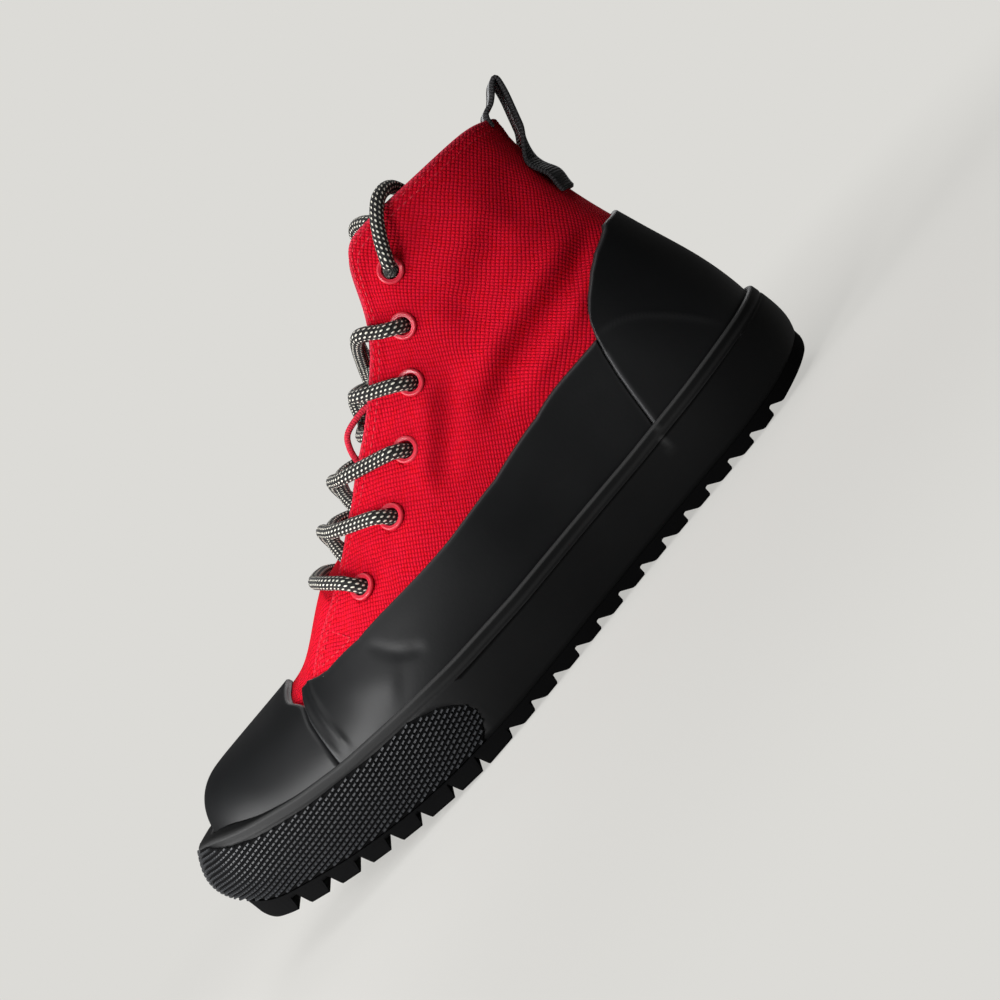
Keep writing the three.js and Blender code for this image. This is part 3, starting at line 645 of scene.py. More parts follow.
def makeLaceEnds():
    plastic = makeMottled("agletPlastic", (0.012, 0.012, 0.012, 1), (0.03, 0.03, 0.03, 1), Roughness=0.3,
                          Coat_Weight=0.4)
    for name, route in laceEnds.items():
        path = smoothPath(route, 0.8)
        length = arcLength(path)
        tip = path[length > length[-1] - agletSettings["length"]]
        place = np.linspace(0, 1, len(tip))
        taper = np.where(place < 0.06, agletSettings["collar"], agletSettings["body"])
        taper = taper - agletSettings["point"] * smoothStep(place, 0.9, 1.0)
        aglet = tubeMesh("aglet" + name.capitalize(), [tip], agletSettings["radius"], agletSettings["sides"],
                         plastic, taper)
        addPiece(aglet, "lace_cord")
        end = addPiece(makeLace("laceEnd" + name.capitalize(), route), "lace_cord", "lace_end_" + name)
        toFrame(route[0]).tolist()
        toFrame(path).tolist()


makeLaceEnds()
crossings = table("under over", [[121, 126], [137, 142], [159, 166], [172, 182]])
crossingMiddles = [
    ([(122, 0, 88.2)], [(122, 0, 88.2)]),
    ([(137.5, 0, 96.6)], [(137.5, 0, 96.6)]),
    ([(157, -6, 102.2), (158.4, 0, 103.2), (160.5, 6, 104.4)], [(166.5, 8, 108.6), (170, 0, 112)]),
    ([(176.5, 0, 116.4)], [(176.5, 0, 116.4)]),
]


def flapEdge(side, s):
    half, z = (np.interp(s, flapRows["s"], flapRows[name]) for name in ("half", "z"))
    return np.array([s, side * half, z])


def intoEyelet(side, k, arrive):
    point, normal = eyeletSpots[side, k]
    toward = unit(arrive - point)
    toward = unit(toward - normal * toward.dot(normal))
    return [point + toward * 7 + normal * 3.9, point + toward * 2.6 + normal * 2.9,
            point + toward * 0.5 - normal * 0.6, point - toward * 0.2 - normal * 5.5]


def strand(side, k, middle, lift):
    under, over = crossings["under"][k - 1], crossings["over"][k - 1]
    start, far = flapEdge(side, under), flapEdge(-side, over)
    point, normal = eyeletSpots[side, k]
    inside = point - normal * 5.4
    half, v = locate(side, [under], [start[2] - 8])
    hidden = skin(ringPlace(side, half), v, -5.6)[0]
    edge = far + [0, -0.5 * side, 4.8]
    middle = [np.array(p) + [0, 0, lift] for p in middle]
    return [inside, hidden, start + [0, -side * 5.5, -4.2]] + middle + [edge] + intoEyelet(-side, k + 1, edge)


def makeLaces():
    left, right = (flapEdge(side, 111) + [-1, side * 2, 4.4] for side in (-1, 1))
    bar = intoEyelet(-1, 1, left)[::-1] + [left, np.array([107, 0, 81.8]), right] + intoEyelet(1, 1, right)
    addPiece(makeLace("laceBar", bar), "lace_cord", "lace_bar")
    for k, (outer, inner) in enumerate(crossingMiddles, 1):
        apart = 0 if k == 3 else 2.3
        lace = makeLace(f"laceCrossing{k}", strand(-1, k, outer, -apart), strand(1, k, inner, apart))
        addPiece(lace, "lace_cord", f"lace_crossing_{k}")
    routes = []
    for side, lift in ((-1, -2.4), (1, 2.4)):
        a, na = eyeletSpots[side, 5]
        b, nb = eyeletSpots[-side, 6]
        routes.append([a - na * 5.6, a - na * 6.5 + [2, 0, 3], np.array([199, 0, 133.2 + lift * 0.6]),
                       b - nb * 6.5 - [2, 0, 3], b - nb * 5.2, b + nb * 1.5])
    addPiece(makeLace("laceCrossing5", *routes), "lace_cord", "lace_crossing_5")


makeLaces()
print("laces and cords made")


def nearLine(points, line):
    line = np.asarray(line, float)
    best, along = np.full(points.shape[:-1], 1e9), np.zeros(points.shape[:-1])
    length = arcLength(line)
    for a, b, start, end in zip(line, line[1:], length, length[1:]):
        d = b - a
        f = np.clip(((points - a) @ d) / (d @ d), 0, 1)
        far = np.linalg.norm(points - a - f[..., None] * d, axis=-1)
        along = np.where(far < best, (start + f * (end - start)) / length[-1], along)
        best = np.minimum(best, far)
    return best, along


def creaseField(points, creases):
    total = np.zeros(points.shape[:-1])
    for line, width, depth in creases:
        far, along = nearLine(points, smoothPath(line, 2.0))
        ends = np.clip(np.minimum(along, 1 - along) * 4, 0, 1)
        total += depth * hump(far, 0, width) * ends * ends * (3 - 2 * ends)
    return total


# ---- sole
def inLine(line, s):
    return np.interp(s, line[:, 0], line[:, 1])


overlaySettings = {"inner": 0.3, "outer": 2.3, "round": 1.1, "below": 5.0, "wearAndHighlight": 0.55, "ripple": 0.14}
bumperTop = np.array([[8, 52], [12, 50], [20, 46], [30, 42], [50, 37], [80, 32], [95, 30.5], [106, 25.5]],
                     float)
soleSettings = {
    "around": 300, "cornerRadius": 1.3, "bandBelow": 4.4, "bandGroove": 0.35, "recess": 1.6, "aboveLugs": 1.3,
    "scuff": ((224, 29), (222.5, 25), (221.5, 20.5)), "toeSpring": (18.4, 105, 1.55),
    "heelSpring": (6.2, 245, 1.6),
    "levels": [1.0, 0.93, 0.85, 0.75, 0.6875, 0.625, 0.5625, 0.5, 0.4375, 0.375, 0.3125, 0.25, 0.2],
    "depths": [5.4, 4.9, 4.4, 3.9, 3.4, 2.6, 2.0],
}


def groundAt(s):
    toe, first, toePower = soleSettings["toeSpring"]
    heel, rear, heelPower = soleSettings["heelSpring"]
    s = np.asarray(s, float)
    low = toe * np.clip(1 - s / first, 0, None) ** toePower
    return low + heel * (np.clip(s - rear, 0, None) / (shoe["length"] - rear)) ** heelPower


def wallEnds(s):
    return evenLine(footLine, s) + soleSettings["aboveLugs"], evenLine(lipLine, s)


def soleSpot(u, height, offset=0.0):
    inset = ringAt(sole["bottomInset"], u) * (1 - height) ** 5 + ringAt(sole["topInset"], u) * height**3
    flat = np.stack([ringAt(sole["s"], u), ringAt(sole["y"], u), np.zeros_like(u)], axis=-1)
    point = flat + outwardAt(sole, u) * (offset - inset)[..., None]
    foot, lip = wallEnds(point[..., 0])
    point[..., 2] = foot + (lip - foot) * height
    return point


def levelOf(u, z):
    height = np.full(np.broadcast(u, z).shape, 0.5)
    for _ in range(4):
        foot, lip = wallEnds(soleSpot(u + 0 * height, height)[..., 0])
        height = np.clip((z - foot) / (lip - foot), 0, 1)
    return height


def ringStack(rings):
    count = len(rings[0])
    faces = gridFaces(len(rings), count, around=True)
    final = (len(rings) - 1) * count
    for i in range(count // 2):
        faces.append([final + (-i) % count, final + (-i - 1) % count, final + i + 1, final + i])
        faces.append([i, i + 1, (-i - 1) % count, (-i) % count])
    return np.vstack(rings), faces


def makeMidsole():
    count = soleSettings["around"]
    u = np.arange(count) * turns / count
    rings, wearAndHighlight = [], []
    lipTop = soleSpot(u, np.ones(count))[:, 2]
    tall = lipTop - soleSpot(u, np.zeros(count))[:, 2]
    radius, band = soleSettings["cornerRadius"], soleSettings["bandBelow"]
    s = ringAt(sole["s"], u)
    depths = [tall * f for f in soleSettings["levels"]] + [np.full(count, d) for d in soleSettings["depths"] + [radius]]
    for depth in depths:
        z = lipTop - depth
        ahead = 1 - smoothStep(s + 6 * ((z - 15) / 11) ** 2, 109, 112)
        covered = smoothStep(inLine(bumperTop, s) - z, 0.4, 1.6) * ahead
        groove = soleSettings["bandGroove"] * hump(depth, band, 0.45)
        offset = -soleSettings["recess"] * covered - groove * (1 - covered)
        ring = soleSpot(u, 1 - np.minimum(depth / tall, 1), offset)
        scuff, _ = nearLine(ring[:, [0, 2]], soleSettings["scuff"])
        rings.append(ring)
        # a paler line just above the groove, and a real scuff on the outer side towards the heel
        wearAndHighlight.append(np.maximum(0.5 * hump(depth, band - 0.7, 0.5),
                               0.8 * hump(scuff, 0, 0.8) * (ring[:, 1] < 0)))
    outward = outwardAt(sole, u)
    base = soleSpot(u, 1 - radius / tall)
    for angle in np.radians([25, 50, 72, 90]):
        ring = base - outward * radius * (1 - math.cos(angle))
        ring[:, 2] = lipTop - radius + radius * math.sin(angle)
        rings.append(ring)
        # the rounded lip is painted paler: a painted highlight line
        wearAndHighlight.append(np.full(count, 1.0 if angle < 1.5 else 0.6))
    cover = overlaySettings["outer"] + 0.15  # the lip closes just over the rubber overlays
    v = np.full(count, 0.3)
    for _ in range(30):
        v = np.clip(v - (skin(u, v, cover)[:, 2] - (lipTop - 0.5)) / 90, 0, 1)
    joint, rim = skin(u, v, cover), rings[-1]
    for f in (0.35, 0.75, 1.0):
        ring = rim + (joint - rim) * f
        ring[:, 2] = lipTop - 0.15 * f - 0.35 * (f == 1.0)
        rings.append(ring)
    rings += [skin(u, v * f, cover) for f in (0.6, 0.3, 0.0)]
    wearAndHighlight += [np.zeros(count)] * 6
    points, faces = ringStack(rings)
    obj = makeMesh("cupSole", points, faces, [wallRubber], edge=np.concatenate(wearAndHighlight))
    addPiece(obj, "black_rubber", "midsole")


treadSettings = {
    "gaps": [(19, 24), (32, 37), (45, 50), (58, 63), (71.5, 75.5), (86, 89), (99, 102)],
    "teeth": 13, "firstTooth": 114, "toothPitch": 11.7, "toothDepth": 3.0, "flank": 1.3, "bevel": 0.7,
    "lean": 1.1, "grooves": (-16.2, 12.8), "grooveWidth": 3.6, "grooveDepth": 2.4,
}


def treadProfile(first, last):
    edges = []
    for a, b in treadSettings["gaps"]:
        high = min(inLine(footLine, a), inLine(footLine, b)) - 0.2
        edges += [(a - 0.25, None), (a + 0.15, "up"), (a + treadSettings["flank"], high),
                  (b - treadSettings["flank"], high), (b - 0.15, "up"), (b + 0.25, None)]
    for k in range(treadSettings["teeth"]):
        s = treadSettings["firstTooth"] + k * treadSettings["toothPitch"]
        depth = treadSettings["toothDepth"]
        edges += [(s - 0.5, None), (s, 0.5), (s + 0.25, depth - 0.3), (s + 0.7, depth), (s + 1.5, depth),
                  (s + 5.2, 0.35), (s + 6.2, None)]
    plain = np.concatenate([first + 10 * np.linspace(0, 1, 16) ** 1.6, np.arange(first + 12, last - 10, 2.5),
                            last - 9 * np.linspace(1, 0, 16) ** 1.6])
    stations = sorted([s for s, _ in edges] + list(plain))
    fixed = {}
    for s, z in edges:
        ground = float(groundAt(s))
        fixed[s] = ground if z is None else ground + 0.8 if z == "up" else z + (ground if s > 110 else 0)
    knots = sorted(fixed)
    heights = []
    for s in stations:
        if s in fixed:
            heights.append(fixed[s])
        elif s < knots[0] or s > knots[-1]:
            heights.append(float(groundAt(s)))
        else:
            heights.append(float(np.interp(s, knots, [fixed[k] for k in knots])))
    stations, heights = np.array(stations), np.array(heights)
    return stations, heights + 0.09 * (np.maximum(first + 6 - stations, 0) ** 2
                                       + np.maximum(stations - last + 5, 0) ** 2)


def makeOutsole():
    u = np.linspace(0, turns, 1601)
    outline = soleSpot(u, np.zeros(len(u)))
    medial, lateral = outline[u <= turns / 2], outline[u >= turns / 2][::-1]
    s, low = treadProfile(outline[:, 0].min() + 0.03, outline[:, 0].max() - 0.03)
    top = evenLine(footLine, s) + 1.2
    low = np.minimum(low, top - 0.5)
    inner, outer = (np.interp(s, edge[:, 0], edge[:, 1]) for edge in (medial, lateral))
    bevel, wide = treadSettings["bevel"], treadSettings["grooveWidth"]
    lean = treadSettings["lean"] * np.clip((top - low) / 6, 0, 1)
    groove = np.where((s > 108) & (s < 250), np.maximum(low, groundAt(s) + treadSettings["grooveDepth"]), low)
    across = [(outer, top), (outer + lean * 0.6, (top + low) / 2), (outer + lean, low + bevel),
              (outer + lean + bevel, low)]
    for y in treadSettings["grooves"]:
        inside = (outer + 6 < y) & (inner - 6 > y + wide)
        for shift, level in ((0, low), (0.2, groove), (wide - 0.2, groove), (wide, low)):
            across.append((np.where(inside, y + shift, np.clip(y + shift, outer + 4, inner - 4)), level))
    across += [(inner - lean - bevel, low), (inner - lean, low + bevel),
               (inner - lean * 0.6, (top + low) / 2), (inner, top)]
    grid = np.array([np.stack([s, y, z], axis=1) for y, z in across]).transpose(1, 0, 2)
    count = grid.shape[1]
    ends = [list(range(count)), list(range(len(s) * count - count, len(s) * count))[::-1]]
    faces = gridFaces(len(s), count, around=True) + ends
    obj = makeMesh("outsoleLugs", grid.reshape(-1, 3), faces, [matteRubber], flat=len(faces))
    addPiece(obj, "tread_rubber", "outsole")


bumperSettings = {
    "columns": 260, "rows": 26, "pitch": 2.15, "rowPitch": 1.62, "slant": 0.29, "margin": 0.75,
    "dashLength": 0.98, "dashWidth": 0.62, "dashHeight": 1.0, "end": 3.95, "swell": 0.21, "above": 1.35,
}


def bumperLevel(u):
    return np.maximum(inLine(bumperTop, ringAt(sole["s"], u)), 12) - 0.1


def bumperSwell(c, t):
    return bumperSettings["swell"] * smoothStep(c, 0.72, 1.0) * 4 * t * (1 - t)


def bumperPlace(c, t):
    side = np.sign(c + 1e-12)
    end = bumperSettings["end"]
    u = (c * end + side * bumperSwell(np.abs(c), t)) % turns
    foot = evenLine(footLine, ringAt(sole["s"], u)) + bumperSettings["above"]
    return u, levelOf(u, foot + (bumperLevel((c * end) % turns) - foot) * t)


def dashSpots(side, reach, rise):
    end, margin = bumperSettings["end"], bumperSettings["margin"]
    half = np.linspace(0, 4.6, 300)
    path = arcLength(soleSpot(ringPlace(side, half) % turns, np.full(len(half), 0.4)))

    def place(along, up):
        h = np.interp(along, path, half)
        u = ringPlace(side, h) % turns
        z = evenLine(footLine, ringAt(sole["s"], u)) + bumperSettings["above"] + up
        return soleSpot(u, levelOf(u, z), np.full(len(u), 0.25)), h, z
    _, h, z = place(reach, rise)
    c = h / end
    for _ in range(8):
        top = bumperLevel(ringPlace(side, c * end) % turns)
        t = np.clip(1 - (top - z) / (top - z + rise), 0, 1)
        c = (h - bumperSwell(c, t)) / end
    toEnd = (1 - c) * end * np.gradient(path, half)[-40]
    kept = (reach > 0.7) & (rise > margin) & (z < top - margin) & (toEnd > margin)
    s = ringAt(sole["s"], ringPlace(side, h) % turns)
    near = [place(reach[kept] + dr, rise[kept] + dz)[0] for dr, dz in ((0, 0), (0.3, 0), (0, 0.3))]
    return near[0], unit(near[1] - near[0]), unit(near[2] - near[0]), s[kept]


# small raised dashes in slanting rows, on straight lines along each side of the toe
def dashParts():
    cos, sin = math.cos(bumperSettings["slant"]), math.sin(bumperSettings["slant"])
    cells = [((k + (row % 2) / 2) * bumperSettings["pitch"], row * bumperSettings["rowPitch"])
             for row in range(-30, 30) for k in range(70)]
    reach, rise = (np.array(cells) @ np.array([[cos, sin], [-sin, cos]])).T
    spots = [dashSpots(side, reach, rise) for side in (-1, 1)]
    at, ahead, rise, s = (np.concatenate(parts) for parts in zip(*spots))
    out = unit(np.cross(ahead, rise))
    out = out * np.sign(out @ [0, 1, 0] * at[:, 1] - 1e-9 + (s < 12) * (out @ [-4, 0, 0]))[:, None]
    slanting = unit(ahead * cos + rise * sin)
    wide = unit(np.cross(out, slanting))
    length, width, high = (bumperSettings["dash" + name] for name in ("Length", "Width", "Height"))
    square = ((-1, -1), (1, -1), (1, 1), (-1, 1))
    corners = [(a, b, 0) for a, b in square] + [(a * 0.66, b * 0.42 + 0.15, 1) for a, b in square]
    points = np.stack([at + slanting * a * length + wide * b * width + out * (h * high - 0.1)
                       for a, b, h in corners], axis=1).reshape(-1, 3)
    sides = [(k, (k + 1) % 4, (k + 1) % 4 + 4, k + 4) for k in range(4)] + [(4, 5, 6, 7), (3, 2, 1, 0)]
    return points, [[start + i for i in face] for start in range(0, len(points), 8) for face in sides]


def makeBumper():
    columns = np.linspace(-1, 1, bumperSettings["columns"] + 1)
    c, t = np.meshgrid(columns, steps(bumperSettings["rows"], 0.03, 0.03))
    u, height = bumperPlace(c, t)
    edge = edgeDistance(soleSpot(u, height), ("bottom", "top", "left", "right"))
    outer = soleSpot(u, height, -1.0 + 1.3 * roundOff(edge, 0.9))
    inner = soleSpot(u, height, np.full(u.shape, -1.05))
    plain = sum(shellParts(outer.shape), [])
    points = np.concatenate([outer.reshape(-1, 3), inner.reshape(-1, 3)])
    dashPoints, dashFaces = dashParts()
    dashFaces = [[i + len(points) for i in face] for face in dashFaces]
    # the dash tops take the paler tread colour: a painted highlight
    wearAndHighlight = np.concatenate([np.zeros(len(points)), np.tile([0, 0, 0, 0, 1, 1, 1, 1], len(dashPoints) // 8)])
    obj = makeMesh("toeBumper", np.vstack([points, dashPoints]), plain + dashFaces,
                   [matteRubber, treadRubber],
                   None, [0] * len(plain) + [1] * len(dashFaces), edge=wearAndHighlight, flat=len(dashFaces))
    addPiece(obj, "tread_rubber", "toe_bumper")


insoleSettings = {"columns": 200, "rings": ((2.5, 0.2), (2.5, 3.0), (2.9, 3.8), (4.0, 4.1), (7.0, 4.0),
                                            (12.0, 3.7))}


def makeInsole():
    count = insoleSettings["columns"]
    u = np.arange(count) * turns / count
    edge, outward = wallAt(u, np.zeros(count)), outwardAt(last, u)
    rings = [edge - outward * inset + [0, 0, height] for inset, height in insoleSettings["rings"]]
    points, faces = ringStack(rings)
    addPiece(makeMesh("footbed", points, faces, [footbedCloth], points[:, :2]), "insole_cloth", "insole")


makeMidsole()
makeOutsole()
makeBumper()
makeInsole()
print("sole made")


# ---- rubber overlays on the upper: toe cap, side rands and heel counter
def sampleCurve(points, places):
    points = np.asarray(points, float)
    length = arcLength(points * [8, 60])  # a unit of half spans about 8 mm, a unit of level about 60 mm
    return np.stack([np.interp(places * length[-1], length, points[:, k]) for k in (0, 1)], axis=-1)


def coonsPatch(bottom, top, left, right, across, upward):
    b, t = sampleCurve(bottom, across)[None], sampleCurve(top, across)[None]
    le, r = sampleCurve(left, upward)[:, None], sampleCurve(right, upward)[:, None]
    x, y = across[None, :, None], upward[:, None, None]
    corner = (b[:, :1] * (1 - x) + b[:, -1:] * x) * (1 - y) + (t[:, :1] * (1 - x) + t[:, -1:] * x) * y
    grid = b * (1 - y) + t * y + le * (1 - x) + r * x - corner
    return grid[..., 0], grid[..., 1]


def onWall(side, outline):
    outline = np.asarray(outline, float)
    return np.stack(locate(side, outline[:, 0], outline[:, 1]), axis=1)


capRear = np.array([[30, 68.3], [38, 68.95], [52, 71.95], [57, 74.55], [58.5, 73.7], [60.5, 71.2],
                    [62.5, 71.8],
                    [65, 75], [66.5, 76.4], [70, 77], [80, 77]], float)
randFront = [(68.4, 32), (69, 38), (70.3, 45), (72, 52), (74.6, 57), (77.4, 59.8)]
randTop = [(77.4, 59.8), (79.5, 61), (82.5, 61.2), (86, 60.2), (90, 59.5), (105, 59.1), (120, 59),
           (150, 58.2),
           (175, 59.5), (200, 62.3), (220, 64), (233.9, 63.9)]
counterFront = [(223.9, 27), (224.5, 31), (227, 42), (229, 50), (231.5, 58), (234, 64), (236.8, 69)]
counterTop = [(236.8, 69), (239.5, 72.3), (243, 75.3), (250, 80), (256, 83), (264, 85.5)]


def shapeOverlay(name, u, v, sides, node, bumps=None, shared=None, paler=None):
    base = skin(u, v)
    edge = edgeDistance(base, sides)
    s, y, z = np.moveaxis(base, -1, 0)
    ripple = overlaySettings["ripple"] * np.sin(s / 9.5 + z / 14) * np.sin(z / 8 + y / 11 + 1)
    low, high = overlaySettings["inner"], overlaySettings["outer"]
    rise = low + (high - low) * roundOff(edge, overlaySettings["round"]) + ripple * smoothStep(edge, 1, 9)
    if bumps is not None:
        rise = rise + bumps(base) * smoothStep(edge, 0.2, 1.2)
    outer, inner = skin(u, v, rise), skin(u, v, np.full(u.shape, low))
    if shared is not None:
        for grid in (outer, inner):
            grid[-1] = (grid[-1] + grid[-1][::-1]) / 2
    # paler along each edge
    wearAndHighlight = hump(edge, 0.5, 0.7) * overlaySettings["wearAndHighlight"]
    if paler is not None:
        wearAndHighlight = np.maximum(wearAndHighlight, paler(base))
    return addPiece(shellMesh(name, outer, inner, [capRubber], edge=wearAndHighlight, shared=shared), "black_rubber",
                    node)


def makeToeCap():
    columns = steps(78, 0.0, 0.03)
    columns = np.concatenate([-columns[:0:-1], columns])
    rows = np.linspace(0.04, 1, 64)
    reach = {}
    for side in (-1, 1):
        low, high = np.full(len(rows), 1.5), np.full(len(rows), 4.4)
        for _ in range(24):
            half = (low + high) / 2
            point = wallAt(ringPlace(side, half), rows)
            before = point[:, 0] < inLineOf(capRear, point[:, 2])
            low, high = np.where(before, half, low), np.where(before, high, half)
        reach[side] = low
    half = np.where(columns[None] < 0, reach[-1][:, None], reach[1][:, None]) * np.abs(columns)[None]
    u = np.where(columns[None] < 0, turns - half, half)
    v = np.broadcast_to(rows[:, None], u.shape)
    count = len(columns)
    shared = np.arange(u.size)
    ridge = (len(rows) - 1) * count
    shared[ridge:ridge + count // 2] = np.arange(ridge + count - 1, ridge + count // 2, -1)
    shapeOverlay("toeCap", u, v, ("left", "right"), "toe_cap", shared=shared)


def inLineOf(line, z):
    return np.mean([np.interp(z + shift, line[:, 0], line[:, 1]) for shift in np.linspace(-0.8, 0.8, 5)],
                   axis=0)


randDents = [(((105, 57), (108, 50), (112, 45), (119, 41)), 2.2, -0.45),
             (((88, 52), (97, 46), (104, 38)), 7.0, 0.45)]
counterArc = [(((232, 63.5), (236, 63.8), (240, 63), (245, 61), (250, 57), (255, 51), (260, 44), (264, 37),
                (267, 31)),
               0.75, 0.55)]


def randBumps(base):
    front = lengthsAlong(base, 1)
    seam = 0.35 * hump(front, 1.8, 1.3) + 0.6 * hump(front, 6.6, 1.5)
    return seam * smoothStep(base[..., 2], 36, 42) + creaseField(base[..., [0, 2]], randDents)


def makeRands():
    across, upward = steps(170, 0.012, 0.006), steps(34, 0.0, 0.04)
    for side, name in ((-1, "Lateral"), (1, "Medial")):
        lower = [(s, inLine(lipLine, s) - overlaySettings["below"]) for s in np.linspace(68.4, 224.0, 40)]
        lower = [(68.4, 32)] + lower[1:-1] + [(224.0, 26)]
        back = [(224.0, 26)] + [(s + 0.1, z) for s, z in counterFront[1:-1] if z < 63.5] + [(233.9, 63.9)]
        half, v = coonsPatch(*(onWall(side, line) for line in (lower, randTop, randFront, back)), across,
                             upward)
        shapeOverlay("rand" + name, ringPlace(side, half), v, ("top", "left", "right"),
                     "rand_" + name.lower(), randBumps)


def arcBump(base):
    return creaseField(base[..., [0, 2]], counterArc)


# paler along the counter's front edge, and a painted highlight along the raised arc
def counterPaleEdgeAndRidgeHighlight(base):
    front, _ = nearLine(base[..., [0, 2]], counterFront[:-2])
    return hump(front, 0.7, 0.75) + 0.3 * arcBump(base)


def makeCounter():
    across, upward = steps(70, 0.02, 0.0), steps(46, 0.0, 0.03)
    levels = np.linspace(0, 1, 200)
    heel = wallAt(np.full(200, 10.0), levels)[:, 2]
    low, high = np.interp([28.5, 86.5], heel, levels)
    u, v = [], []
    for side in (-1, 1):
        bottom = np.vstack([onWall(side, [(223.9, 27), (240, 27), (255, 28), (266, 28)]), [[10, low]]])
        top = np.vstack([onWall(side, counterTop), [[9.2, 0], [10, high]]])
        top[-2, 1] = (top[-3, 1] + high) / 2
        back = np.stack([np.full(30, 10.0), np.linspace(low, high, 30)], axis=1)
        half, level = coonsPatch(bottom, top, onWall(side, counterFront), back, across, upward)
        order = slice(None) if side < 0 else slice(-2, None, -1)
        u.append(ringPlace(side, half)[:, order])
        v.append(level[:, order])
    u, v = (np.concatenate(parts, axis=1) for parts in (u, v))
    shapeOverlay("heelCounter", u, v, ("top", "left", "right"), "heel_counter", arcBump, paler=counterPaleEdgeAndRidgeHighlight)


makeToeCap()
makeRands()
makeCounter()
print("rubber overlays made")

# ---- canvas upper
quarterSettings = {
    "front": 3.16, "columns": 125, "rows": 84, "hem": 7.0, "hemRise": 0.4, "stitchRows": (2.0, 4.6),
    "hole": 3.6,
    "pull": 1.3, "coverS": [70, 82, 105, 150, 200, 233, 243, 256, 275, 290],
    "coverZ": [58, 61, 59, 58, 62.3, 64, 75, 83, 86.5, 86.5],
}
flapFront = [(79.5, 57.5), (81.5, 60.5), (84.5, 63), (89, 65.8), (95, 69), (100, 71), (106, 73.5),
             (113, 76.9),
             (119, 80), (125, 83.4), (131, 87), (138, 91.2), (144, 95)]
creases = [
    (((269, 92), (262, 88), (256, 85.5), (248, 84.2), (240, 83.5), (228, 82), (214, 80.5), (200, 77.5),
      (184, 71.5)),
     4.4, -3.6),
    (((262, 96), (250, 93), (236, 91.5), (220, 90), (206, 88), (192, 84)), 5.0, 2.4),
    (((256, 76), (244, 75.5), (230, 74), (214, 71.5), (200, 69)), 3.6, 1.3),
    (((200, 97), (190, 92), (180, 84), (169, 76), (158, 69)), 4.6, -1.7),
    (((186, 99), (176, 90), (165, 81), (154, 73)), 4.6, 1.3),
    (((246, 116), (232, 110), (218, 106), (204, 104)), 6.0, -1.5),
    (((250, 126), (236, 121), (222, 118), (208, 118)), 7.0, 0.8),
    (((262, 128), (254, 118), (248, 106)), 6.0, -0.8),
    (((150, 84), (140, 76), (130, 68)), 4.0, -0.6),
    (((132, 76), (124, 69), (114, 63)), 3.5, -0.5),
    (((108, 70), (102, 66), (96, 61)), 3.0, -0.7), (((100, 68), (93, 64), (88, 60)), 2.6, 0.5),
]


def flapLevel(side, half):
    s, z = np.array(flapFront).T
    halves, levels = locate(side, s, z)
    halves, levels = np.append(halves, 5.0), np.append(levels, 1.0)
    order = np.argsort(halves)
    shifts = np.linspace(-0.05, 0.05, 5)
    level = np.mean([np.interp(half + shift, halves[order], levels[order]) for shift in shifts], axis=0)
    return np.where(half >= 5.06, 1.0, np.minimum(level, 1.0))


def canvasRelief(base, edge):
    s, y, z = np.moveaxis(base, -1, 0)
    fold = creaseField(base[..., [0, 2]], creases) * np.where(y > 0, 0.8, 1.0)
    clear = smoothStep(z - np.interp(s, quarterSettings["coverS"], quarterSettings["coverZ"]), -1, 7)
    fold = np.where(fold > 0, fold * clear, fold * (0.35 + 0.65 * clear))
    swell = 0.25 * np.sin(s / 13 + 1) * np.sin(z / 11 + s / 30)
    hemEdge = quarterSettings["hem"]
    hem = quarterSettings["hemRise"] * (1 - smoothStep(edge, hemEdge - 1.2, hemEdge + 0.4))
    for row in quarterSettings["stitchRows"]:
        hem = hem - 0.22 * hump(edge, row, 0.45)
    return (fold + swell * clear) * smoothStep(edge, 2, 16) + hem


def quarterGrid():
    front = quarterSettings["front"]
    side = front + steps(quarterSettings["columns"], 0.012, 0.0) * (10 - front)
    half = np.concatenate([side, side[::-1][1:]])
    lateral = np.arange(len(half)) < len(side)
    u = np.where(lateral, turns - half, half)
    level = np.where(lateral, flapLevel(-1, half), flapLevel(1, half))
    v = steps(quarterSettings["rows"], 0.0, 0.014)[:, None] * level[None]
    return np.broadcast_to(u[None], v.shape), v


def clothMarks(base, row):
    across = lengthsAlong(base, 1)[row]
    up = lengthsAlong(base, 0)
    return np.stack([np.broadcast_to(across[None], up.shape), up - up[row][None]], axis=-1)


# the cloth round each eyelet is drawn outwards so that the hole has a clean edge
def openHoles(grid):
    hole, pull = quarterSettings["hole"], quarterSettings["pull"]
    for point, normal in eyeletSpots.values():
        apart = grid - point
        depth = apart @ normal
        flat = apart - depth[..., None] * normal
        far = np.linalg.norm(flat, axis=-1)
        near = (far < hole + pull) & (np.abs(depth) < 8)
        moved = np.where(far < hole - 1.0, far, hole + (far - hole + 1.0) * pull / (pull + 1.0))
        drawn = point + flat / np.maximum(far, 1e-6)[..., None] * moved[..., None] + depth[..., None] * normal
        grid[near] = drawn[near]


def makeQuarters():
    u, v = quarterGrid()
    base = skin(u, v)
    top, ends = edgeDistance(base, ("top",)), edgeDistance(base, ("left", "right"))
    shape = roundOff(np.minimum(top, ends), 1.0)
    relief = canvasRelief(base, top)
    middle = -shoe["canvas"] / 2
    outer, inner = skin(u, v, middle + relief + shape), skin(u, v, middle + relief * 0.7 - shape)
    for grid in (outer, inner):
        openHoles(grid)
    cells = (base[:-1, :-1] + base[1:, :-1] + base[:-1, 1:] + base[1:, 1:]) / 4
    apart = np.min([np.linalg.norm(cells - point, axis=-1) for point, _ in eyeletSpots.values()], axis=0)
    drop = (apart < quarterSettings["hole"] - 0.15).ravel()
    # the inner faces take the darker lining copy: painted shade inside the shoe
    obj = shellMesh("canvasQuarters", outer, inner, [canvasCloth, shadedLiningCloth], clothMarks(base, len(u) // 2),
                    drop=drop, edge=hump(top, 0.4, 0.8))
    addPiece(obj, "canvas", "upper")
    return u, v, base


quarterU, quarterV, quarterBase = makeQuarters()
print("quarters made")

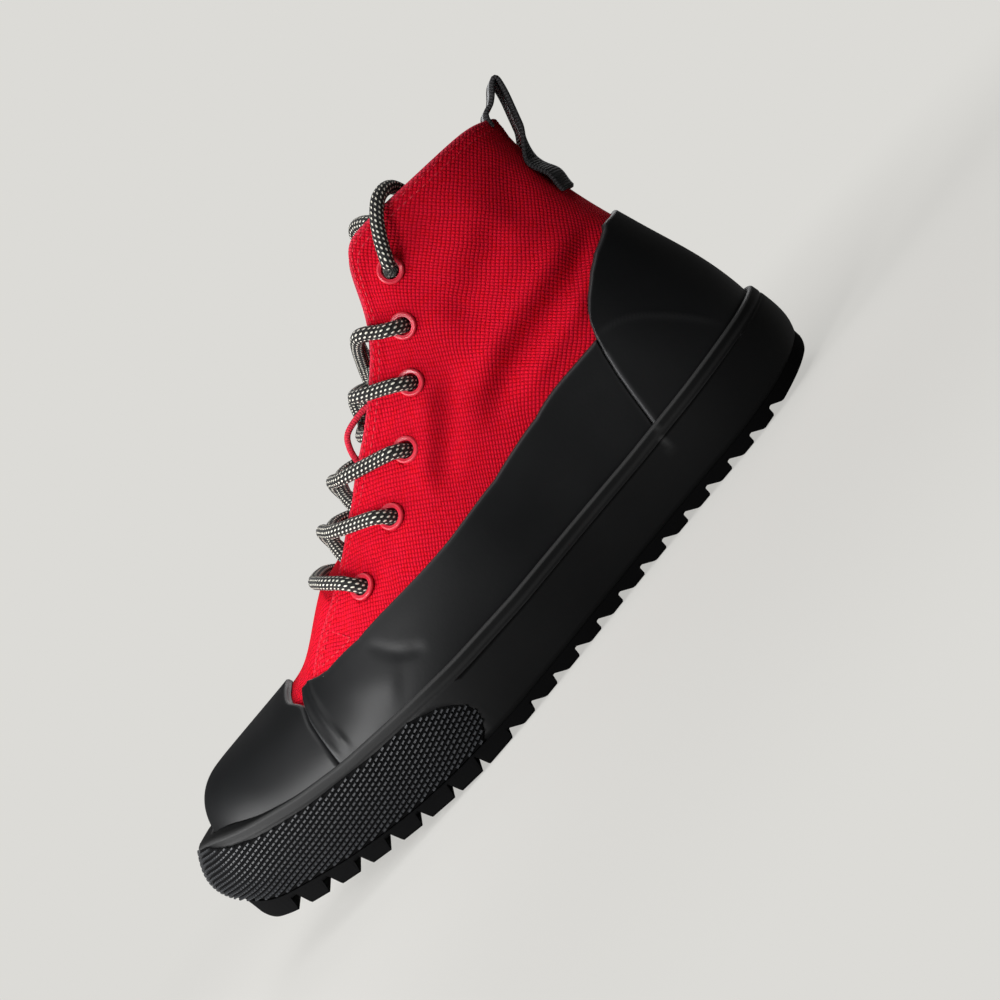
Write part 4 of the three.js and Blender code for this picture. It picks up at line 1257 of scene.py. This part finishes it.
tongueRows = table("s z half fall", [
    [106, 78.2, 27, 9], [110, 79.0, 26, 10.5], [116, 80.3, 24, 13], [122, 81.7, 21.5, 14.5],
    [128, 83.9, 20, 15.5],
    [134, 87, 19.7, 16], [141, 90.5, 19.5, 16], [148, 94, 19.5, 16], [155, 97.5, 19.5, 16],
    [167, 103, 19.5, 15],
    [181, 113, 19, 14], [195, 124, 16.5, 12], [205, 134.5, 15, 9.5], [208.5, 138, 14.4, 8.5],
])
tongueSettings = {
    "thick": 2.0, "vampRows": 44, "tongueRows": 96, "columns": 64, "vampHalves": (2.55, 4.0), "bend": 1.9,
    "start": 106.5, "joined": 121, "end": 208.5, "tuck": 2.6, "under": 0.15, "narrowTip": 0.45,
    "folds": [(((128, -5), (142, -8), (156, -9.5), (168, -8)), 2.2, -1.5),
              (((130, 7), (145, 9), (160, 9)), 2.4, -1.2),
              (((170, 5), (184, 3), (196, 7)), 3.5, -0.9), (((172, -9), (186, -8), (200, -9)), 3.0, -0.8),
              (((112, -6), (122, -3), (134, 2)), 3.0, -0.6)],
}


def vampRow(half, f):
    edge = {side: min(flapLevel(side, np.array([half]))[0], 0.93) - 0.09 for side in (-1, 1)}
    v = 1 - np.abs(f) * (1 - np.where(f < 0, edge[-1], edge[1]))
    tuck = -tongueSettings["tuck"] * smoothStep(np.abs(f), 0.55, 0.85) - tongueSettings["under"]
    return skin(np.where(f < 0, turns - half, half), v, tuck)


def makeTongue():
    f = np.linspace(-1, 1, tongueSettings["columns"] + 1)
    vamp = np.array([vampRow(half, f) for half in np.linspace(*tongueSettings["vampHalves"],
                                                              tongueSettings["vampRows"])])
    s = np.linspace(tongueSettings["start"], tongueSettings["end"], tongueSettings["tongueRows"])
    z, wide, fall = (evenLine(np.stack([tongueRows["s"], tongueRows[name]], axis=1),
                              s) for name in ("z", "half", "fall"))
    tongue = np.stack([np.broadcast_to(s[:, None], (len(s), len(f))), wide[:, None] * f,
                       z[:, None] - fall[:, None] * np.abs(f) ** tongueSettings["bend"]], axis=-1)
    joining = 1 - smoothStep(s, tongueSettings["start"], tongueSettings["joined"])
    tongue += (vamp[-1] - tongue[0]) * joining[:, None, None]
    tip = np.clip((s - 199) / 9.5, 0, 1)
    tongue[..., 1] *= (1 - tongueSettings["narrowTip"] * tip**3)[:, None]
    grid = np.concatenate([vamp, tongue])
    grid[..., 2] += creaseField(grid[..., :2], tongueSettings["folds"])
    normal = unit(np.cross(np.gradient(grid, axis=0), np.gradient(grid, axis=1)))
    normal = normal * np.sign(normal[..., 2:3].mean())
    thick = tongueSettings["thick"]
    edge = edgeDistance(grid, ("top", "left", "right"))
    obj = sheetMesh("vampAndTongue", grid, normal, edge, thick, 1.0, [canvasCloth], clothMarks(grid, 10),
                    sink=thick / 2, wearAndHighlight=hump(edge, 0.4, 0.8))
    addPiece(obj, "canvas", "tongue")
    return grid, normal


tongueGrid, tongueNormal = makeTongue()


# a plain woven label near the top of the tongue
labelSettings = {"ends": (184, 199), "rows": 18, "reach": 0.55, "columns": 22, "lift": 0.25, "rise": 0.5}


def makeLabel():
    middle = tongueGrid.shape[1] // 2
    centre = tongueGrid[:, middle, 0]
    rows = np.interp(np.linspace(*labelSettings["ends"], labelSettings["rows"]), centre,
                     np.arange(len(centre)))
    reach = labelSettings["reach"]
    across = middle * (1 + np.linspace(-reach, reach, labelSettings["columns"]))

    def pick(grid):
        low, share = np.floor(rows).astype(int), (rows % 1)[:, None, None]
        line = grid[low] * (1 - share) + grid[low + 1] * share
        low, share = np.floor(across).astype(int), (across % 1)[None, :, None]
        return line[:, low] * (1 - share) + line[:, low + 1] * share
    base, out = pick(tongueGrid), unit(pick(tongueNormal))
    edge = edgeDistance(base, ("top", "bottom", "left", "right"))
    rise = labelSettings["lift"] + labelSettings["rise"] * roundOff(edge, 0.4)[..., None]
    obj = shellMesh("tongueLabel", base + out * rise, base + out * 0.2, [labelCloth], clothMarks(base, 8))
    addPiece(obj, "canvas")


makeLabel()


keeperSettings = {
    "width": 9, "thick": 2.2, "round": 0.9,
    "path": [(146.8, 0, 91.6), (148.6, 0, 97), (150.6, 0, 102.6), (153.9, 0, 106.6), (160, 0, 107.9),
             (165.8, 0, 107.7), (168.2, 0, 106), (168.9, 0, 102.4)],
}


# the narrow strap on the tongue that a lace runs through
def makeLaceKeeper():
    path = smoothPath(keeperSettings["path"], 0.7)
    ahead = unit(np.gradient(path, axis=0))
    across = np.array([0, 1.0, 0])
    places = steps(14, 0.06, 0.06) * 2 - 1
    half = keeperSettings["width"] / 2
    grid = path[:, None] + across * places[None, :, None] * keeperSettings["width"] / 2
    edge = edgeDistance(grid, ("left", "right"))
    marks = np.stack(np.broadcast_arrays(places[None] * half, arcLength(path)[:, None]), axis=-1)
    obj = sheetMesh("laceKeeper", grid, unit(np.cross(ahead, across))[:, None], edge, keeperSettings["thick"],
                    keeperSettings["round"], [hemCloth], marks, wearAndHighlight=hump(edge, 0.3, 0.5), weld=True)
    addPiece(obj, "canvas")


makeLaceKeeper()
print("tongue made")


eyeletSettings = {
    "around": 40, "lift": 0.45,
    "outline": [(4.75, -0.2), (4.8, 0.25), (4.7, 0.65), (4.4, 0.95), (4.0, 1.0), (3.65, 0.82), (3.4, 0.86),
                (3.2, 0.8),
                (3.02, 0.45), (2.98, -0.3), (2.98, -2.6), (3.35, -2.6), (3.45, -0.2)],
    # paler rim on the dome's shoulder and inner bead: a painted highlight
    "wearAndHighlight": [0, 0.2, 0.5, 0.5, 0.2, 0, 0.35, 0.35, 0, 0, 0, 0, 0],
}


def makeEyelets():
    # the third colour is the painted highlight on each ring
    paint = makeMottled("eyeletPaint", (0.60, 0.010, 0.030, 1), (0.72, 0.016, 0.045, 1),
                        (0.78, 0.06, 0.09, 1),
                        Roughness=0.3, Coat_Weight=0.15, Specular_IOR_Level=0.4)
    outline, wearAndHighlight, count = (eyeletSettings[name] for name in ("outline", "wearAndHighlight", "around"))
    angles = (np.arange(count) * 2 * np.pi / count)[:, None]
    for (side, k), (point, normal) in eyeletSpots.items():
        first = unit(np.cross(normal, [0.3, 0, 1]))
        second = np.cross(normal, first)
        circle = np.cos(angles) * first + np.sin(angles) * second
        grid = np.array([point + normal * (h + eyeletSettings["lift"]) + r * circle for r,
                         h in outline + outline[:1]])
        shared = np.arange(len(grid) * count)
        shared[-count:] = np.arange(count)
        name = "lateral" if side < 0 else "medial"
        obj = makeMesh(f"eyelet{name.capitalize()}{k}", grid.reshape(-1, 3),
                       gridFaces(len(grid), count, around=True),
                       [paint], edge=np.repeat(wearAndHighlight + wearAndHighlight[:1], count), shared=shared)
        addPiece(obj, "eyelet_paint", f"eyelet_{name}_{k}")


makeEyelets()
print("eyelets made")


# ---- pull loop
# dark and pale are the painted shade and highlight of the ribs; grey is the reflective stripe
webbingSettings = {"rib": 1.1, "stripe": 4.5, "dark": (0.006, 0.006, 0.007, 1),
                   "pale": (0.028, 0.028, 0.03, 1),
                   "grey": (0.42, 0.43, 0.44, 1)}


def makeWebbing():
    material, tree, shader = newMaterial("ribbedWebbing", Roughness=0.75)
    axes = addNode(tree, "SeparateXYZ", {0: uvOf(tree)}).outputs
    turn = calc(tree, "MULTIPLY", axes[1], math.pi / webbingSettings["rib"])
    rib = calc(tree, "ABSOLUTE", calc(tree, "SINE", turn))
    stripe = calc(tree, "LESS_THAN", calc(tree, "ABSOLUTE", axes[0]), webbingSettings["stripe"])
    # the rib crests are painted paler and the furrows darker: painted highlight and shade
    ribShadedYarn = blendColor(tree, rib, webbingSettings["dark"], webbingSettings["pale"])
    plug(tree, shader["Base Color"], blendColor(tree, stripe, ribShadedYarn, webbingSettings["grey"]))
    height = calc(tree, "MULTIPLY", rib, calc(tree, "SUBTRACT", 1.0, calc(tree, "MULTIPLY", stripe, 0.8)))
    plug(tree, shader["Normal"], bumpFrom(tree, height, 0.0004))
    return material


loopSettings = {"half": 12.5, "thick": 1.7, "sewn": (118.5, 102.5), "bulge": 1.9}
loopPath = [(268.0, 137), (268.8, 140.6), (270.6, 142.6), (273.1, 142.9), (276, 144.6), (279, 147.2),
            (280.9, 148.2),
            (281.6, 146.8), (280.0, 141.8), (277.2, 135.6), (274.6, 130), (272.5, 125.4), (271.3, 122),
            (270.8, 119.4)]


def makePullLoop():
    half, thick = loopSettings["half"], loopSettings["thick"]
    path = smoothPath([(s, 0, z) for s, z in loopPath], 0.7)
    columns = steps(24, 0.03, 0.03) * 2 - 1
    middle = len(columns) // 2
    free = path[:, None] + np.array([0, half, 0]) * columns[None, :, None]
    levels = np.linspace(0.2, 1, 400)
    z = np.linspace(*loopSettings["sewn"], 26)
    v = np.interp(z, wallAt(np.full(400, turns / 2), levels)[:, 2], levels)
    spread = np.abs(wallAt(np.full(len(z), 10.1), v)[:, 1] - wallAt(np.full(len(z), 9.9), v)[:, 1]) / 0.2
    u = turns / 2 - columns[None] * half / spread[:, None]
    v = np.broadcast_to(v[:, None], u.shape)
    bulge = loopSettings["bulge"] * hump(z, 110, 4.6)[:, None] + 0 * u
    sewn = skin(u, v, shoe["gap"] + thick / 2 + bulge)
    settle = smoothStep(path[:, 2], 131, 119.5) * (np.arange(len(path)) > np.argmax(path[:, 2]))
    bent = (sewn[0] - sewn[0, middle])[None] * settle[:, None, None] * [1, 0, 0]
    grid = np.concatenate([free + bent, sewn])
    out = unit(np.cross(np.gradient(grid, axis=1), np.gradient(grid, axis=0)))
    edge = edgeDistance(grid, ("top", "bottom", "left", "right"))
    length = lengthsAlong(grid, 0)[:, middle]
    marks = np.stack(np.broadcast_arrays(columns[None] * half, length[:, None]), axis=-1)
    addPiece(sheetMesh("pullLoop", grid, out, edge, thick, 0.6, [makeWebbing()], marks), "webbing",
             "pull_loop")


makePullLoop()
print("pull loop made")


# ---- stitches: small raised beans along seam lines
threadSettings = {"pitch": 2.9, "length": 2.1, "width": 0.7, "height": 0.3, "lift": 0.06,
                  "dark": (0.50, 0.003, 0.018, 1), "pale": (0.70, 0.0042, 0.0252, 1)}
patchCorners = [(87.5, 62.3), (99.5, 68.0), (103, 61.6), (87.5, 62.3)]


def stitchParts(path, normals):
    length = arcLength(path)
    places = np.arange(threadSettings["pitch"] / 2, length[-1], threadSettings["pitch"])

    def pick(values):
        return np.stack([np.interp(places, length, values[:, k]) for k in range(3)], axis=1)
    centre, normal = pick(path), unit(pick(normals))
    ahead = unit(pick(np.gradient(path, axis=0)))
    side = unit(np.cross(normal, ahead))
    half, wide, high = threadSettings["length"] / 2, threadSettings["width"] / 2, threadSettings["height"]
    points, around = [], 6
    for along, size in ((-1, 0), (-0.8, 0.7), (0, 1), (0.8, 0.7), (1, 0)):
        for angle in 2 * np.pi * np.arange(around if size else 1) / around:
            rise = high * size * (math.sin(angle) * 0.6 + 0.4) - 0.05
            points.append(centre + ahead * along * half + side * wide * size * math.cos(angle) + normal
                          * rise)
    local = [[0, 1 + (k + 1) % 6, 1 + k] for k in range(6)]
    for ring in (1, 7):
        local += [[ring + k, ring + (k + 1) % 6, ring + 6 + (k + 1) % 6, ring + 6 + k] for k in range(6)]
    local += [[19, 13 + k, 13 + (k + 1) % 6] for k in range(6)]
    faces = [[20 * n + i for i in face] for n in range(len(places)) for face in local]
    return np.stack(points, axis=1).reshape(-1, 3), faces


def makeStitches(name, lines):
    points, faces = [], []
    for path, normals in lines:
        start = sum(map(len, points))
        stitches, cells = stitchParts(path, normals)
        points.append(stitches)
        faces += [[start + i for i in face] for face in cells]
    addPiece(makeMesh(name, np.vstack(points), faces, [redThread]), "canvas")


def onCanvas(u, v, edge):
    base, normal = wallAt(u, v), wallNormal(u, v)
    relief = canvasRelief(base[None], np.full((1, len(u)), edge))[0]
    return base + normal * (relief[:, None] + threadSettings["lift"]), normal


def hemLines():
    top = edgeDistance(quarterBase, ("top",))
    for row in quarterSettings["stitchRows"]:
        v = np.array([np.interp(-row, -top[:, j], quarterV[:, j]) for j in range(top.shape[1])])
        path, normal = onCanvas(quarterU[0], v, row)
        yield path[3:-3], normal[3:-3]


def patchLines():
    for side in (-1, 1):
        for start, end in zip(patchCorners, patchCorners[1:]):
            path = smoothPath(np.linspace(start, end, 5), 0.8)
            half, v = locate(side, path[:, 0], path[:, 1])
            yield onCanvas(ringPlace(side, half), v, 12.0)


redThread = makeMottled("redThread", threadSettings["dark"], threadSettings["pale"], Roughness=0.6)
makeStitches("hemStitches", hemLines())
makeStitches("patchStitches", patchLines())
print("stitches made")


# ---- floor, world and lights
stageSettings = {"tone": (0.716, 0.708, 0.679, 1), "lightShare": 0.05, "near": 0.17, "far": 0.44,
                 "shadow": 0.30,
                 "floor": (0.80, 0.79, 0.76, 1), "bounce": (0.25, 0.25, 0.245, 1), "size": 12,
                 "below": 0.0002}


# the camera sees a pale floor that runs into the background; other rays see a darker one
def makeFloor():
    mesh = bpy.data.meshes.new("floor")
    corners = [(x * stageSettings["size"], y * stageSettings["size"], 0) for x,
               y in ((-1, -1), (1, -1), (1, 1), (-1, 1))]
    mesh.from_pydata(corners, [], [(0, 1, 2, 3)])
    floor = bpy.data.objects.new("floor", mesh)
    bpy.context.scene.collection.objects.link(floor)
    floor.location.z = -stageSettings["below"]
    material, tree, shader = newMaterial("paleFloor", Roughness=0.9, Specular_IOR_Level=0.05)
    seen = addNode(tree, "LightPath").outputs["Is Camera Ray"]
    plug(tree, shader["Base Color"], blendColor(tree, seen, stageSettings["bounce"], stageSettings["floor"]))
    far = addNode(tree, "VectorMath", {0: objectPlace(tree)}, operation="LENGTH").outputs["Value"]
    plain = addNode(tree, "Emission", {"Color": stageSettings["tone"]})
    near = calc(tree, "SUBTRACT", 1.0, fade(tree, far, stageSettings["near"], stageSettings["far"]))
    share = calc(tree, "SUBTRACT", 1.0, calc(tree, "MULTIPLY", near, stageSettings["shadow"]))
    mixShaders(tree, calc(tree, "MULTIPLY", share, seen), tree.nodes["Principled BSDF"], plain,
               "Material Output")
    mesh.materials.append(material)


def mixShaders(tree, share, first, second, output):
    mixed = addNode(tree, "MixShader", {0: share, 1: first.outputs[0], 2: second.outputs[0]})
    plug(tree, tree.nodes[output].inputs[0], mixed.outputs[0])


def makeWorld():
    world = bpy.data.worlds.new("studio")
    world.use_nodes = True
    tree = world.node_tree
    seen = addNode(tree, "Background", {"Color": stageSettings["tone"]})
    lit = addNode(tree, "Background", {"Color": stageSettings["tone"],
                                       "Strength": stageSettings["lightShare"]})
    mixShaders(tree, addNode(tree, "LightPath").outputs["Is Camera Ray"], lit, seen, "World Output")
    bpy.context.scene.world = world


lamps = {
    "toeSpot": {"kind": "SPOT", "at": (-0.50, -0.76, 0.34), "to": (-0.075, 0, 0.045), "size": 0.2,
                "power": 37,
                "cone": 34},
    "toeSheen": {"kind": "AREA", "at": (-0.88, -0.20, 0.28), "to": (-0.12, 0, 0.04), "size": 0.7, "power": 9},
    "topFill": {"kind": "AREA", "at": (0.05, -0.35, 1.1), "to": (0, 0, 0.05), "size": 1.0, "power": 3.9},
    "backFill": {"kind": "AREA", "at": (0.4, 0.9, 0.7), "to": (0.0, 0, 0.08), "size": 0.9, "power": 4},
}


def makeLamps():
    for name, lamp in lamps.items():
        data = bpy.data.lights.new(name, lamp["kind"])
        data.energy = lamp["power"]
        if lamp["kind"] == "SPOT":
            data.shadow_soft_size = lamp["size"]
            data.spot_size = math.radians(lamp["cone"])
            data.spot_blend = 1.0
        else:
            data.shape = "DISK"
            data.size = lamp["size"]
        light = bpy.data.objects.new(name, data)
        light.location = lamp["at"]
        light.rotation_euler = (Vector(lamp["to"]) - Vector(lamp["at"])).to_track_quat("-Z", "Y").to_euler()
        bpy.context.scene.collection.objects.link(light)


makeFloor()
makeWorld()
makeLamps()
bpy.context.scene.view_settings.view_transform = "Standard"
print("stage and light made")
